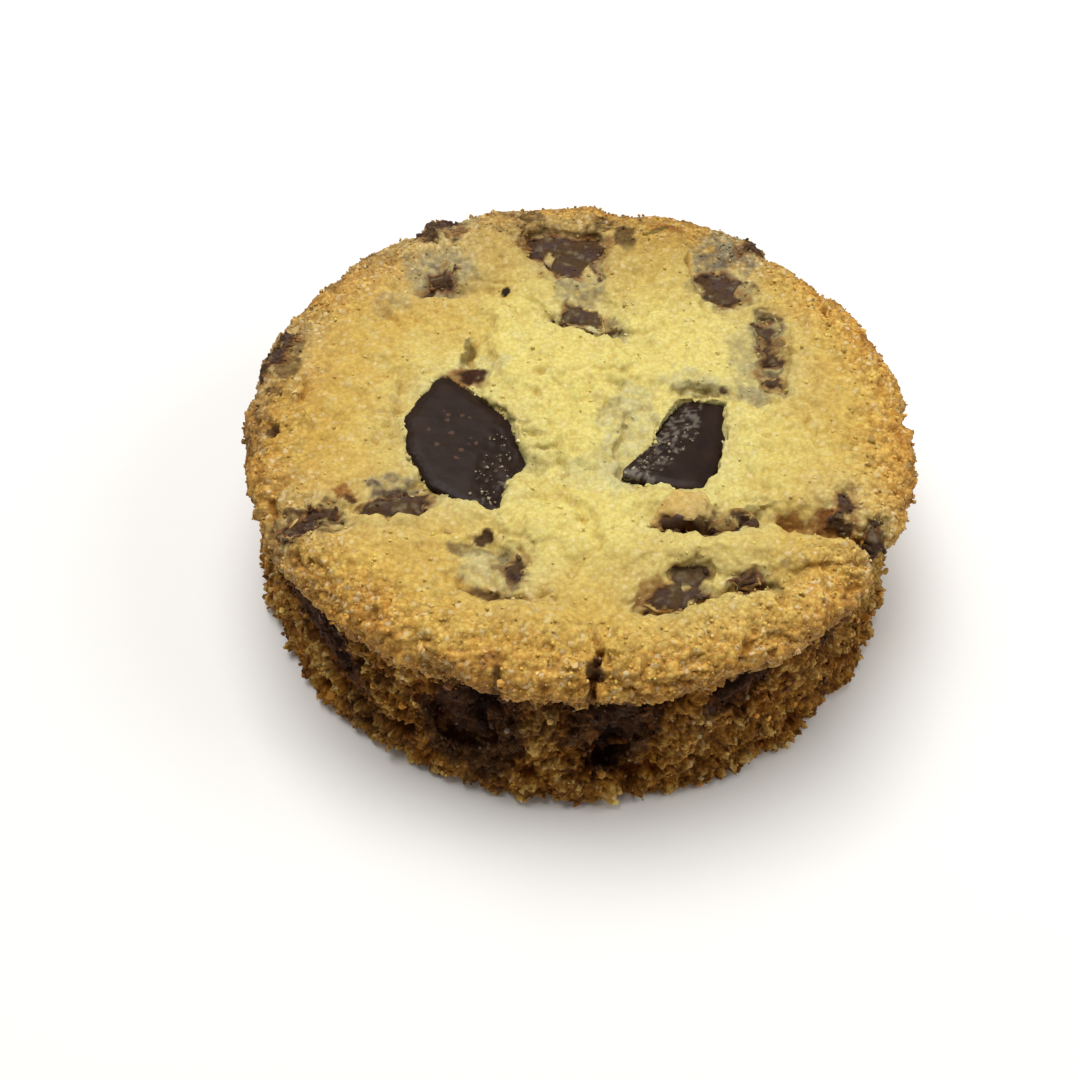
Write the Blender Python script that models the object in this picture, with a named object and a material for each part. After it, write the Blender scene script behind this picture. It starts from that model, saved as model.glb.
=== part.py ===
"""A thick chocolate chunk cookie: one solid of crumbly dough with its chunks of chocolate set in it.

Metres, +Z up. The origin is the middle of the flat underside, and the side with the dark hollows faces -Y.
"""

from math import cos, exp, hypot, radians, sin, sqrt

import bmesh
import bpy
from mathutils import Euler, Matrix, Vector, noise

MM = 0.001

# The baked puck, a crust that overhangs a crumbly wall
RADIUS = 41.0 * MM
HEIGHT = 24.8 * MM
LIP_HEIGHT = 5.8 * MM
LIP_MIDDLE = HEIGHT - LIP_HEIGHT * 0.5
LIP_OVERHANG = 1.9 * MM
SHOULDER = 4.6 * MM
WAIST = 1.3 * MM
FOOT_HEIGHT = 1.4 * MM
FOOT_BEVEL = 1.2 * MM
UNDER_LIP = HEIGHT * 0.55
WAIST_HEIGHT = HEIGHT * 0.25
GRID = 1.9 * MM

# The crags of the crust and of the wall, as two sizes of noise
CRUST_CRAG = 0.45 * MM
WALL_CRAG = 0.7 * MM
CRAG_SIZE = 6.5 * MM
FINE_CRAG_SIZE = 3.1 * MM
WALL_START = HEIGHT - LIP_HEIGHT * 0.8
WALL_FADE = LIP_HEIGHT * 0.4

# The chocolate
POCKET_GAP = 0.3 * MM
POCKET_MOUTH = 4.0 * MM
CHUNK_EDGE = 0.35 * MM
CHUNK_TAPER = 0.8

# Swellings and dents of the surface: x, y, z of the middle, reach along and across, turn in degrees,
# and height. All but the angle are in millimetres.
TOP = HEIGHT / MM
SWELL_REACH_UP = 5
SWELLINGS = (
    (1.0, 6.5, TOP, 11.5, 8.0, -14, 1.6),
    (-2.5, -19.5, TOP, 8.5, 4.6, 4, 1.3),
    (19.0, -21.6, TOP, 12.5, 2.3, 4, 1.3),
    (12.7, -15.9, TOP, 3.4, 2.2, 8, 0.9),
    (31.0, 2.0, TOP, 7.0, 13.0, 0, 0.9),
    (9.0, 28.0, TOP, 4.6, 8.0, 10, 0.9),
    (-12.0, 29.5, TOP, 3.6, 4.6, 0, 1.0),
    (-28.0, 6.0, TOP, 7.0, 13.0, -20, 0.8),
    (-22.0, -28.0, TOP, 12.0, 4.0, -35, 1.0),
    (2.0, -35.0, TOP, 20.0, 3.6, 0, 0.9),
    (28.0, -26.5, TOP, 5.0, 3.4, 40, 0.7),
    (6.2, -4.5, TOP, 3.0, 8.0, -12, -2.0),
    (2.0, -11.5, TOP, 5.0, 2.6, 10, -0.9),
    (-4.8, -8.6, TOP, 2.4, 2.2, 0, -1.5),
    (1.0, 18.2, TOP, 5.0, 3.0, 0, -1.3),
    (-3.0, 29.0, TOP, 6.0, 5.0, 0, -1.0),
    (18.5, 26.0, TOP, 4.5, 6.5, 0, -0.9),
    (-20.5, -15.0, TOP, 5.5, 3.0, 18, -1.0),
    (-19.5, 24.0, TOP, 4.5, 4.0, 0, -0.8),
    (12.3, -26.4, TOP, 4.5, 2.8, 30, -1.2),
    (-9.0, -24.0, TOP, 4.5, 2.2, -25, -1.1),
    (22.6, 9.0, TOP, 3.0, 6.5, 0, -0.9),
    (28.0, -15.5, TOP, 6.0, 1.8, 15, -0.9),
    (-30.0, -20.5, TOP, 4.0, 2.4, 24, -0.8),
    (35.8, -18.6, TOP - 3.0, 3.0, 2.6, 30, -2.4),
    (-10.6, -37.6, 13.5, 5.0, 3.6, 0, -2.6),
    (5.2, -38.6, 8.5, 4.4, 4.2, 0, -2.8),
    (5.5, -38.4, 15.5, 5.0, 2.4, 0, -1.6),
    (20.5, -33.0, 15.0, 5.0, 2.6, 35, -1.9),
    (-29.5, -25.5, 14.0, 4.0, 5.0, 0, -1.5),
    (14.0, 36.6, 12.0, 5.0, 3.6, 0, -1.8),
    (-30.0, 25.0, 11.0, 5.0, 4.0, 0, -1.7),
    (38.0, 9.0, 12.5, 4.0, 4.0, 0, -1.6),
)

# Creases and cracks: width and depth, then the points of the line, all in millimetres
CREASES = (
    (1.5, 1.9, ((-6.5, 16.6, TOP), (-0.5, 14.4, TOP), (7.0, 11.6, TOP))),
    (1.3, 1.6, ((8.5, -18.6, TOP), (16.0, -18.8, TOP), (22.5, -16.0, TOP), (34.0, -17.5, TOP))),
    (1.3, 1.5, ((8.0, -29.6, TOP), (15.5, -28.2, TOP), (24.0, -25.4, TOP), (33.0, -24.0, TOP - 1))),
    (1.1, 1.0, ((-13.5, -27.0, TOP), (-10.0, -29.4, TOP), (-3.0, -30.2, TOP), (8.0, -29.9, TOP))),
    (1.2, 1.5, ((3.2, -34.0, TOP), (3.4, -38.5, TOP - 1), (3.2, -41.0, TOP - 5))),
    (1.2, 1.3, ((-16.5, -37.5, TOP - 2), (-12.0, -38.8, TOP - 3.5), (-10.5, -39.5, TOP - 6))),
    (1.5, 1.4, ((-27.0, 26.0, TOP), (-21.0, 20.5, TOP), (-12.0, 22.0, TOP), (-7.0, 18.5, TOP))),
    (1.6, 2.0, ((35.0, -19.0, TOP), (37.5, -19.6, TOP - 3), (38.6, -21.0, TOP - 7))),
    (1.3, 1.2, ((16.0, 3.6, TOP), (12.0, 4.2, TOP), (9.0, 2.6, TOP))),
)

# The chunks that show in the top: middle x and y, how deep the face lies, depth of the chunk, tilts
# of the face about X and Y in degrees, and the corners of its outline, in millimetres
TOP_CHUNKS = {
    "chunk_left": (-13.2, -6.0, 0.35, 6.0, 1, 2, (
        (-3.9, 10.2), (0.6, 6.8), (4.4, 3.6), (7.6, -2.4), (5.2, -6.4), (4.4, -10.6),
        (0.0, -9.5), (-3.6, -7.2), (-6.6, -2.4), (-7.5, 2.6), (-5.9, 6.6))),
    "chunk_right": (12.9, -4.4, 0.75, 6.0, -2, 3, (
        (-7.0, -5.2), (-3.6, -0.8), (-1.8, 3.6), (0.2, 7.0), (4.8, 7.2), (4.6, 1.6), (3.2, -4.6),
        (1.8, -7.0), (-3.0, -6.8))),
    "chunk_back_left": (-20.4, 33.2, 0.15, 3.6, 0, 0, (
        (-2.9, -1.4), (-2.0, 1.3), (0.0, 2.2), (2.1, 1.3), (2.3, -0.8), (-0.4, -2.4))),
    "chunk_back_left_inner": (-18.9, 23.4, 0.25, 3.5, 0, 0, (
        (-2.0, -1.9), (-2.3, 0.0), (-0.3, 1.7), (2.3, 1.9), (1.8, 0.1), (0.0, -1.0))),
    "chunk_back_middle": (-3.0, 29.0, 0.35, 5.0, -4, 0, (
        (-5.4, 3.4), (-3.4, 5.0), (0.6, 4.7), (4.6, 4.2), (4.5, -4.0), (0.4, -5.2), (-3.2, -2.2))),
    "chunk_middle": (0.0, 16.9, 0.45, 4.0, 3, 0, (
        (-4.0, 0.2), (-1.9, 2.7), (1.2, 2.8), (2.4, 0.6), (4.2, -3.2), (2.4, -3.6), (-0.4, -1.2))),
    "chunk_back_right": (18.1, 23.7, 0.3, 5.0, 0, 0, (
        (-3.0, 1.6), (-2.3, 3.4), (0.6, 3.0), (2.7, 3.2), (2.2, 1.0), (2.7, -1.6), (0.5, -3.7),
        (-2.4, -1.6))),
    "chunk_rim_back_right": (22.0, 33.4, 0.15, 3.6, 0, 0, (
        (-1.8, 2.4), (0.2, 2.8), (1.9, 0.2), (1.5, -2.4), (-1.2, -1.8))),
    "chunk_right_inner": (23.4, 13.8, 0.35, 4.0, 0, 0, (
        (-2.2, 2.8), (-0.2, 4.6), (1.2, 2.6), (1.9, -3.6), (-0.5, -4.0), (-0.5, 0.2))),
    "chunk_right_low": (24.2, 6.6, 0.25, 3.0, 0, 0, (
        (-1.1, 1.1), (0.9, 1.4), (1.3, -1.0), (-0.9, -1.3))),
    "chunk_rim_left": (-37.9, 7.2, 0.25, 3.8, 0, 0, (
        (-1.9, -4.7), (-1.6, -0.6), (-0.7, 3.6), (1.3, 4.4), (1.3, 0.8), (0.2, -3.6))),
    "chunk_left_rim_low": (-30.2, -20.2, 0.3, 4.0, 0, 0, (
        (-3.0, -2.9), (-2.0, 0.9), (2.6, 2.6), (3.2, 0.2), (0.7, -1.2))),
    "chunk_left_front": (-20.6, -16.6, 0.3, 4.0, 0, 0, (
        (-4.3, -0.6), (-1.8, 0.4), (1.4, 1.7), (4.1, 2.7), (3.0, -0.6), (1.0, -2.2), (-2.2, -2.0))),
    "chunk_front_small": (-6.3, -25.9, 0.25, 3.0, 0, 0, (
        (-1.9, 1.4), (0.6, 2.0), (1.4, -1.8), (0.0, -1.6))),
    "chunk_under_flap": (15.2, -17.6, 0.6, 3.5, -4, 0, (
        (-5.8, 0.1), (0.0, 0.5), (5.8, 2.6), (5.4, 0.5), (0.8, -1.2), (-4.8, -1.1))),
    "chunk_front_right": (12.0, -26.1, 0.3, 4.5, 0, 0, (
        (-3.4, -2.2), (-1.8, 0.4), (1.7, 3.2), (3.3, 2.6), (3.6, -0.8), (1.2, -2.8), (-1.6, -3.1))),
    "chunk_front_right_small": (19.7, -25.5, 0.3, 3.0, 0, 0, (
        (-1.7, -0.5), (1.5, 1.1), (1.6, -0.1), (-1.1, -1.3))),
    "chunk_right_chip": (31.4, -13.6, 0.1, 3.5, -10, 8, (
        (-1.3, -2.0), (-0.7, 1.6), (0.8, 2.4), (1.4, -2.2))),
    "chunk_rim_right": (35.2, -16.4, 1.0, 3.8, 0, 0, (
        (-1.3, 1.4), (0.7, 1.5), (1.3, -1.3), (-0.8, -1.9))),
}

# The chunks that show in the wall: azimuth, height of the middle, how deep the face lies, depth of the chunk,
# turn of the outline in degrees, and its corners as along and up, in millimetres
WALL_CHUNKS = {
    "chunk_wall_front_left": (-105, 12.0, 2.4, 4.5, 0, (
        (-5.2, 1.0), (-2.8, 4.6), (2.2, 3.8), (4.6, 1.6), (2.4, -1.6), (1.0, -5.0), (-3.4, -4.6))),
    "chunk_wall_front_middle": (-81.5, 11.4, 2.6, 4.5, 0, (
        (-3.8, 4.0), (0.2, 5.0), (3.6, 3.6), (4.4, -0.4), (2.4, -4.6), (-0.8, -6.0), (-1.8, -1.2))),
    "chunk_wall_front_right": (-57, 15.2, 1.7, 4.0, 24, (
        (-5.4, -1.2), (-2.6, 1.6), (2.4, 2.0), (5.2, 1.2), (2.8, -1.2), (-1.6, -1.6))),
    "chunk_wall_left": (-138, 12.2, 1.3, 4.5, -28, (
        (-8.2, 1.2), (-4.6, 3.0), (3.2, 3.0), (8.0, 0.8), (7.2, -2.6), (0.0, -3.2), (-6.4, -1.6))),
    "chunk_wall_left_back": (172, 15.4, 0.9, 4.0, 10, (
        (-3.4, -2.4), (-3.0, 1.8), (0.6, 3.0), (3.6, 0.6), (1.8, -2.6))),
    "chunk_wall_right_front": (-36, 14.6, 1.0, 4.0, 60, (
        (-3.6, -1.0), (-1.2, 1.4), (2.8, 1.3), (3.4, -0.8), (0.2, -1.7))),
    "chunk_wall_right": (13, 12.6, 1.4, 4.5, -15, (
        (-4.8, -1.6), (-3.6, 2.6), (1.4, 3.2), (4.6, 0.4), (2.6, -3.0))),
    "chunk_wall_back_right": (48, 9.0, 1.0, 4.0, 35, (
        (-4.0, -1.6), (-1.6, 2.2), (3.4, 1.8), (3.8, -1.4), (-0.4, -2.6))),
    "chunk_wall_back": (72, 13.0, 1.7, 4.5, 8, (
        (-5.0, 0.0), (-2.0, 3.4), (3.0, 3.0), (5.0, -1.0), (1.0, -4.2), (-3.6, -3.2))),
    "chunk_wall_back_left": (110, 8.4, 1.0, 4.0, -40, (
        (-3.4, -1.4), (-0.8, 2.0), (3.2, 1.0), (2.6, -1.8))),
    "chunk_wall_left_upper": (141, 11.8, 1.5, 4.5, 20, (
        (-4.8, -2.0), (-3.8, 2.4), (0.8, 3.4), (4.6, 1.0), (3.0, -2.8))),
}


def clear_scene():
    """Empties the scene that a new file starts with."""
    for obj in list(bpy.data.objects):
        bpy.data.objects.remove(obj)


def collection(name):
    """A new collection in the scene."""
    made = bpy.data.collections.new(name)
    bpy.context.scene.collection.children.link(made)
    return made


def material(name, colour, roughness):
    """A plain material of one colour."""
    made = bpy.data.materials.new(name)
    made.use_nodes = True
    shader = made.node_tree.nodes["Principled BSDF"]
    shader.inputs["Base Color"].default_value = (*colour, 1.0)
    shader.inputs["Roughness"].default_value = roughness
    return made


def arc(middle, across, up, start, end, steps):
    """Points on an ellipse in the XZ plane, from one angle to another in degrees."""
    angles = [radians(start + (end - start) * i / steps) for i in range(steps + 1)]
    return [(middle[0] + across * cos(a), middle[1] + up * sin(a)) for a in angles]


def puck_profile():
    """The cookie's section from the middle of its top, over the lip and down the wall to the ground."""
    over = arc((RADIUS - SHOULDER, LIP_MIDDLE), SHOULDER, HEIGHT - LIP_MIDDLE, 90, 0, 8)
    lip_bottom = LIP_MIDDLE - HEIGHT + LIP_HEIGHT
    under = arc((RADIUS - LIP_OVERHANG, LIP_MIDDLE), LIP_OVERHANG, lip_bottom, 0, -90, 4)
    wall = [
        (RADIUS - LIP_OVERHANG, UNDER_LIP),
        (RADIUS - WAIST, WAIST_HEIGHT),
        (RADIUS, FOOT_HEIGHT),
        (RADIUS - FOOT_BEVEL, 0),
    ]
    return [(0, HEIGHT), *over, *under[1:], *wall]


def applied(obj, name):
    """Puts a mesh object in place of obj, unturned at the origin, as its modifiers or its curve shape it."""
    bpy.context.view_layer.update()
    evaluated = obj.evaluated_get(bpy.context.evaluated_depsgraph_get())
    mesh = bpy.data.meshes.new_from_object(evaluated)
    bpy.data.objects.remove(obj)
    return bpy.data.objects.new(name, mesh)


def swell(point):
    """How far the swellings and dents lift the surface at a point."""
    total = 0
    for x, y, z, along, across, turn, height in SWELLINGS:
        dx, dy, dz = point.x / MM - x, point.y / MM - y, point.z / MM - z
        angle = radians(turn)
        u = (dx * cos(angle) + dy * sin(angle)) / along
        v = (dy * cos(angle) - dx * sin(angle)) / across
        w = dz / min(along, across, SWELL_REACH_UP)
        total += height * MM * exp(-(u * u + v * v + w * w))
    return total


def distance_to_line(point, line):
    """How far a point lies from a line of points given in millimetres."""
    ends = [Vector(p) * MM for p in line]
    best = RADIUS
    for a, b in zip(ends, ends[1:]):
        share = max(0, min(1, (point - a).dot(b - a) / (b - a).length_squared))
        best = min(best, (point - a.lerp(b, share)).length)
    return best


def creased(point):
    """How far the creases sink the surface at a point."""
    return sum(
        depth * MM * exp(-((distance_to_line(point, line) / (width * MM)) ** 2))
        for width, depth, line in CREASES
    )


def crag(point):
    """Noise of about -1 to 1, in lumps of two sizes."""
    return noise.noise(point / CRAG_SIZE) + 0.7 * noise.noise(point / FINE_CRAG_SIZE)


def on_wall(point):
    """From 0 on the crust to 1 on the wall below the lip."""
    return max(0, min(1, (WALL_START - point.z) / WALL_FADE))


def relief(point):
    """How far the surface at a point of the smooth puck stands out of it."""
    wall = on_wall(point)
    return swell(point) - creased(point) + crag(point) * (CRUST_CRAG + (WALL_CRAG - CRUST_CRAG) * wall)


def along(profile, distance):
    """The radius and height of the profile's point at a distance from the middle of the top."""
    for (r1, z1), (r2, z2) in zip(profile, profile[1:]):
        length = hypot(r2 - r1, z2 - z1)
        if distance <= length:
            share = distance / length
            return r1 + (r2 - r1) * share, z1 + (z2 - z1) * share
        distance -= length
    return profile[-1]


def flat_disc(shape, radius):
    """An even grid of squares pressed into a round, at the height of the top."""
    squares = round(2 * radius / GRID)
    bmesh.ops.create_grid(shape, x_segments=squares, y_segments=squares, size=1)
    for vertex in shape.verts:
        x, y = vertex.co.x, vertex.co.y
        vertex.co = Vector((x * sqrt(1 - y * y / 2) * radius, y * sqrt(1 - x * x / 2) * radius, HEIGHT))


def pulled_down(shape, profile, reach):
    """Rings of squares from the disc's rim down the profile, and one face underneath."""
    length = sum(hypot(b[0] - a[0], b[1] - a[1]) for a, b in zip(profile, profile[1:]))
    rings = round((length - reach) / GRID)
    rim = [edge for edge in shape.edges if edge.is_boundary]
    for ring in range(1, rings + 1):
        radius, z = along(profile, reach + (length - reach) * ring / rings)
        pulled = bmesh.ops.extrude_edge_only(shape, edges=rim)["geom"]
        for vertex in (item for item in pulled if isinstance(item, bmesh.types.BMVert)):
            outward = vertex.co.xy.normalized() * radius
            vertex.co = Vector((outward.x, outward.y, z))
        rim = [item for item in pulled if isinstance(item, bmesh.types.BMEdge) and item.is_boundary]
    bmesh.ops.triangulate(shape, faces=shape.faces)
    bmesh.ops.edgeloop_fill(shape, edges=rim)
    bmesh.ops.recalc_face_normals(shape, faces=shape.faces)


def make_relief(shape):
    """Pushes the surface out or in; the ring on the ground only moves along the ground."""
    shape.normal_update()
    moves = {}
    for vertex in shape.verts:
        direction = vertex.normal.copy()
        if vertex.co.z < FOOT_HEIGHT * 0.5:
            direction = Vector((vertex.co.x, vertex.co.y, 0)).normalized()
        moves[vertex] = direction * relief(vertex.co)
    for vertex, move in moves.items():
        vertex.co += move
    for axis in (0, 1):
        reach = [vertex.co[axis] for vertex in shape.verts]
        middle = (min(reach) + max(reach)) / 2
        for vertex in shape.verts:
            vertex.co[axis] -= middle


def make_dough(parts, finish):
    """The baked puck with its relief, before the pockets are cut."""
    profile = puck_profile()
    shape = bmesh.new()
    flat_disc(shape, RADIUS - SHOULDER)
    pulled_down(shape, profile, RADIUS - SHOULDER)
    make_relief(shape)
    mesh = bpy.data.meshes.new("dough")
    shape.to_mesh(mesh)
    shape.free()
    mesh.materials.append(finish)
    mesh.shade_smooth()
    dough = bpy.data.objects.new("dough", mesh)
    parts.objects.link(dough)
    return dough


def prism(name, corners, grow, above, below, depth, edge):
    """A flat outline drawn out from z = above to z = -below, narrowing by CHUNK_TAPER over the depth."""
    curve = bpy.data.curves.new(name, "CURVE")
    curve.dimensions = "2D"
    curve.fill_mode = "BOTH"
    curve.extrude = (above + below) / 2 - edge
    curve.bevel_depth = edge
    curve.bevel_resolution = 0
    curve.offset = grow - edge
    spline = curve.splines.new("POLY")
    spline.points.add(len(corners) - 1)
    for point, (x, y) in zip(spline.points, corners):
        point.co = (x * MM, y * MM, 0, 1)
    spline.use_cyclic_u = True
    outline = bpy.data.objects.new(name, curve)
    bpy.context.scene.collection.objects.link(outline)
    block = applied(outline, name)
    shape = bmesh.new()
    shape.from_mesh(block.data)
    bmesh.ops.remove_doubles(shape, verts=shape.verts, dist=0.01 * MM)
    for vertex in shape.verts:
        vertex.co.z += (above - below) / 2
        vertex.co.xy *= 1 + (1 - CHUNK_TAPER) * vertex.co.z / depth
    bmesh.ops.recalc_face_normals(shape, faces=shape.faces)
    shape.to_mesh(block.data)
    shape.free()
    return block


def place_chunk(parts, pockets, finish, name, corners, depth, matrix):
    """A chunk with its face in the XY plane of matrix, and the cutter of the pocket that it sits in."""
    chunk = prism(name, corners, 0, 0, depth * MM, depth * MM, CHUNK_EDGE)
    chunk.matrix_world = matrix
    chunk.data.materials.append(finish)
    parts.objects.link(chunk)
    reach_down = depth * MM + POCKET_GAP
    pocket = prism("pocket_" + name, corners, POCKET_GAP, POCKET_MOUTH, reach_down, depth * MM, POCKET_GAP / 3)
    pocket.matrix_world = matrix
    pocket.hide_render = True
    pocket.display_type = "WIRE"
    pockets.objects.link(pocket)


def on_crust(x, y):
    """The point of the smooth crust over x and y, and the way that it faces there."""
    outward = Vector((x, y, 0))
    beyond = (outward.length - RADIUS + SHOULDER) / SHOULDER
    if beyond <= 0:
        return Vector((x, y, HEIGHT)), Vector((0, 0, 1))
    rise = HEIGHT - LIP_MIDDLE
    climb = sqrt(1 - beyond * beyond)
    facing = outward.normalized() * beyond / SHOULDER + Vector((0, 0, climb / rise))
    return Vector((x, y, LIP_MIDDLE + rise * climb)), facing.normalized()


def make_top_chunks(parts, pockets, finish):
    """The chunks of the top, each level with the crust where it lies."""
    for name, (x, y, sink, depth, tilt_x, tilt_y, corners) in TOP_CHUNKS.items():
        surface, facing = on_crust(x * MM, y * MM)
        middle = surface + facing * (swell(surface) - sink * MM)
        lean = Vector((0, 0, 1)).rotation_difference(facing).to_matrix()
        tilt = Euler((radians(tilt_x), radians(tilt_y), 0)).to_matrix()
        matrix = Matrix.Translation(middle) @ (lean @ tilt).to_4x4()
        place_chunk(parts, pockets, finish, name, corners, depth, matrix)


def make_wall_chunks(parts, pockets, finish):
    """The chunks of the wall, each facing outward at its azimuth."""
    for name, (azimuth, height, sink, depth, roll, corners) in WALL_CHUNKS.items():
        outward = Vector((cos(radians(azimuth)), sin(radians(azimuth)), 0))
        along = Vector((-outward.y, outward.x, 0))
        facing = Matrix((along, Vector((0, 0, 1)), outward)).transposed().to_4x4()
        reach = RADIUS - WAIST - sink * MM
        middle = outward * reach + Vector((0, 0, height * MM))
        matrix = Matrix.Translation(middle) @ facing @ Matrix.Rotation(radians(roll), 4, "Z")
        place_chunk(parts, pockets, finish, name, corners, depth, matrix)


def cut_pockets(dough, pockets):
    """Cuts every chunk's pocket out of the dough."""
    cut = dough.modifiers.new("pockets", "BOOLEAN")
    cut.operation = "DIFFERENCE"
    cut.operand_type = "COLLECTION"
    cut.collection = pockets
    cut.solver = "EXACT"


def main():
    clear_scene()
    parts = collection("cookie")
    pockets = collection("pockets")
    baked = material("baked dough", (0.74, 0.50, 0.19), 0.85)
    chocolate = material("dark chocolate", (0.055, 0.032, 0.025), 0.42)
    dough = make_dough(parts, baked)
    make_top_chunks(parts, pockets, chocolate)
    make_wall_chunks(parts, pockets, chocolate)
    cut_pockets(dough, pockets)


main()
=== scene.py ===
"""The looks of the chocolate chunk cookie: baked, crumbly dough, its crumbs, and the chocolate set in it.

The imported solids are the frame. Lengths in this script are millimetres unless a name says metres,
with +Z up and the origin in the middle of the flat underside.
"""

from math import cos, pi, radians, sin

import bmesh
import bpy
import numpy as np
from mathutils import Matrix, Vector, noise
from mathutils.bvhtree import BVHTree


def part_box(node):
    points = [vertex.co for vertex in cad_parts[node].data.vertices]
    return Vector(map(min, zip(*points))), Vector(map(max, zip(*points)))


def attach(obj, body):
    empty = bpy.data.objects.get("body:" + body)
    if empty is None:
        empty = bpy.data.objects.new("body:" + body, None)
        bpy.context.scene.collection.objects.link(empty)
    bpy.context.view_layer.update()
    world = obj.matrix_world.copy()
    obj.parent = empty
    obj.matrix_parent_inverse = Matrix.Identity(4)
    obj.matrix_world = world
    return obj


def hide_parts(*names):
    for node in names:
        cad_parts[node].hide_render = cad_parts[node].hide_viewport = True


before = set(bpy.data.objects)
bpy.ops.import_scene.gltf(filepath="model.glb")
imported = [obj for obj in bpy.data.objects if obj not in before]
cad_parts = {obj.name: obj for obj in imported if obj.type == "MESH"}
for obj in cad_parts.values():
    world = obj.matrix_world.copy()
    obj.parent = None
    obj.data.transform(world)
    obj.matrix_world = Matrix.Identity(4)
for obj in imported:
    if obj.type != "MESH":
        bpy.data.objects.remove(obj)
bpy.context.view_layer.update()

MM = 0.001
SEED = 20
noise.seed_set(SEED)

# The cookie's own reaches and heights, read from the frame: its highest crag stands above the level crust
LOW, HIGH = (np.array(corner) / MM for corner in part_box("dough"))
RADIUS = (HIGH[0] - LOW[0]) / 2
CRAG_HEIGHT = 1.6
LIP_HEIGHT = 5.8
TOP = HIGH[2] - CRAG_HEIGHT
LIP_LOW = TOP - LIP_HEIGHT

# How far in from the rim the wall begins and is full, and likewise the browned lip
WALL_REACH = (7.5, 5)
LIP_REACH = (11, 2)

# How fine the meshes are, and how often their steps are softened
DOUGH_GRID = 0.32
CHOCOLATE_GRID = 0.3
SOFTEN_ROUNDS = 3

# Sizes of the angular chips of the wall's crumb, and how far they stand out
CHIPS = ((2.8, 0.70), (1.5, 0.80), (0.8, 0.50))

# Sizes of the crust's rounded lumps and angular chips, and how far they stand out, on its lip and its top
LIP_LUMPS = ((2.6, 0.50), (1.3, 0.36))
LIP_CHIPS = ((1.6, 0.34), (0.9, 0.36))
TOP_LUMPS = ((3.6, 0.60), (1.7, 0.30))
TOP_CHIPS = ((1.5, 0.14), (0.8, 0.15))

# Pits where grains are missing: size of the grains, share of them that are missing, and depth
LIP_PITS = ((2.1, 0.045, 1.1), (1.1, 0.07, 0.6))
TOP_PITS = ((1.4, 0.03, 0.8), (0.9, 0.03, 0.5))
WALL_PITS = ((2.4, 0.20, 1.2), (1.3, 0.18, 0.7))

# Loose grains: how many, and their smallest and largest reach; then the kinds of shape and how uneven
# they are
COARSE_GRAINS = 1500
COARSE_SIZE = (0.26, 0.62)
FINE_GRAINS = 9000
FINE_SIZE = (0.12, 0.27)
EDGE_GRAINS = 800
EDGE_SIZE = (0.15, 0.42)
SUGAR_GRAINS = 800
SUGAR_SIZE = (0.20, 0.46)
BLOOM_GRAINS = 90
BLOOM_SIZE = (0.06, 0.24)
GRAIN_KINDS = 6
GRAIN_SQUEEZE = 0.75

# Colours of the dough, the stains on it and the chocolate, linear
LEMON = (0.745, 0.645, 0.205)
GOLDEN = (0.615, 0.420, 0.100)
TAN = (0.62, 0.340, 0.072)
BROWN = (0.30, 0.135, 0.028)
AMBER = (0.33, 0.15, 0.020)
UMBER = (0.125, 0.048, 0.010)
HONEY = (0.56, 0.35, 0.09)
RUST = (0.24, 0.082, 0.018)
SUGAR = (0.80, 0.69, 0.42)
# Olive: the film near the chocolate, and also painted shade in the crust's valleys
OLIVE_STAIN_AND_SHADE = (0.58, 0.54, 0.27)
# Painted shade in hollows, cracks and behind chunks
CAVITY_SHADE = (0.16, 0.115, 0.03)
FILM = (0.28, 0.245, 0.15)
PURPLE = (0.072, 0.043, 0.039)
COCOA = (0.048, 0.019, 0.011)
BLACK = (0.012, 0.007, 0.005)
CHOCOLATE = (0.024, 0.0125, 0.0085)
BLOOM = (0.17, 0.145, 0.12)

# Painted shade in the crevices: what it takes from each colour channel
CREVICE_SHADE = (0.62, 0.90, 1.20)

# The loose flake of crust: its ragged front edge and its back edge, from left to right, and how thick it is
FLAKE_FRONT = ((8.4, -18.4), (10.6, -18.9), (13.2, -18.8), (15.4, -17.8), (17.0, -15.6))
FLAKE_BACK = ((8.4, -18.4), (9.6, -15.6), (12.0, -13.4), (15.0, -12.9), (17.0, -15.6))
FLAKE_THICK = 1.3

# How far the edges of chunks and pockets wander, and the size of the wandering
WANDER = ((0.85, 2.6), (0.35, 1.0))

# Chunks that kept their smooth faces, how far they grow sideways, and the gap round each chunk in the solids
PLAIN_CHUNKS = ("chunk_left", "chunk_right")
SIDE_GROWTH = 0.65
POCKET_GAP = 0.3

# Melted chunks: how far they fill their pocket sideways and upward, and how far their chocolate stands out of
# the crumb inside its ragged edge, and lies under the crumb outside it
FILL_ASIDE = 0.5
FILL_RISE = 0.3
MELT_RISE = 0.14
MELT_SINK = 0.35

# Crumb that lies over the melted chocolate: x, y, reach along and across, and turn in degrees
CRUMB_OVER = (
    (-5.0, 28.9, 1.1, 2.0, 0),
    (-3.0, 36.4, 3.6, 2.2, 0),
    (0.3, 25.7, 0.9, 2.0, 0),
    (-8.4, 26.0, 2.6, 3.0, 30),
    (4.8, 27.0, 3.4, 4.0, 0),
    (20.1, 28.2, 1.3, 1.4, 0),
)

# Stains narrower than a speck keep their outline, thin ones wander a little, and wider ones wander more
SPECK = 0.7
THIN_STAIN = 1.8

# Where the pale flecks of a plain chunk lie: x, y, reach along and across, and turn in degrees
FLECKS = (-14.6, -5.2, 3.6, 4.4, 0)

# The edge between the two facets of each plain chunk, from its back to its front, and the noise that bloom
# begins at and is full at
BLOOM_LINES = {
    "chunk_left": (((-9.8, 4.0), (-10.3, -2.2), (-11.6, -7.2), (-12.6, -17.5)), 0.30, 0.62),
    "chunk_right": (((15.0, 5.0), (14.7, 2.4), (14.3, -2.7), (9.5, -9.8), (8.6, -12.0)), 0.05, 0.38),
}

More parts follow.
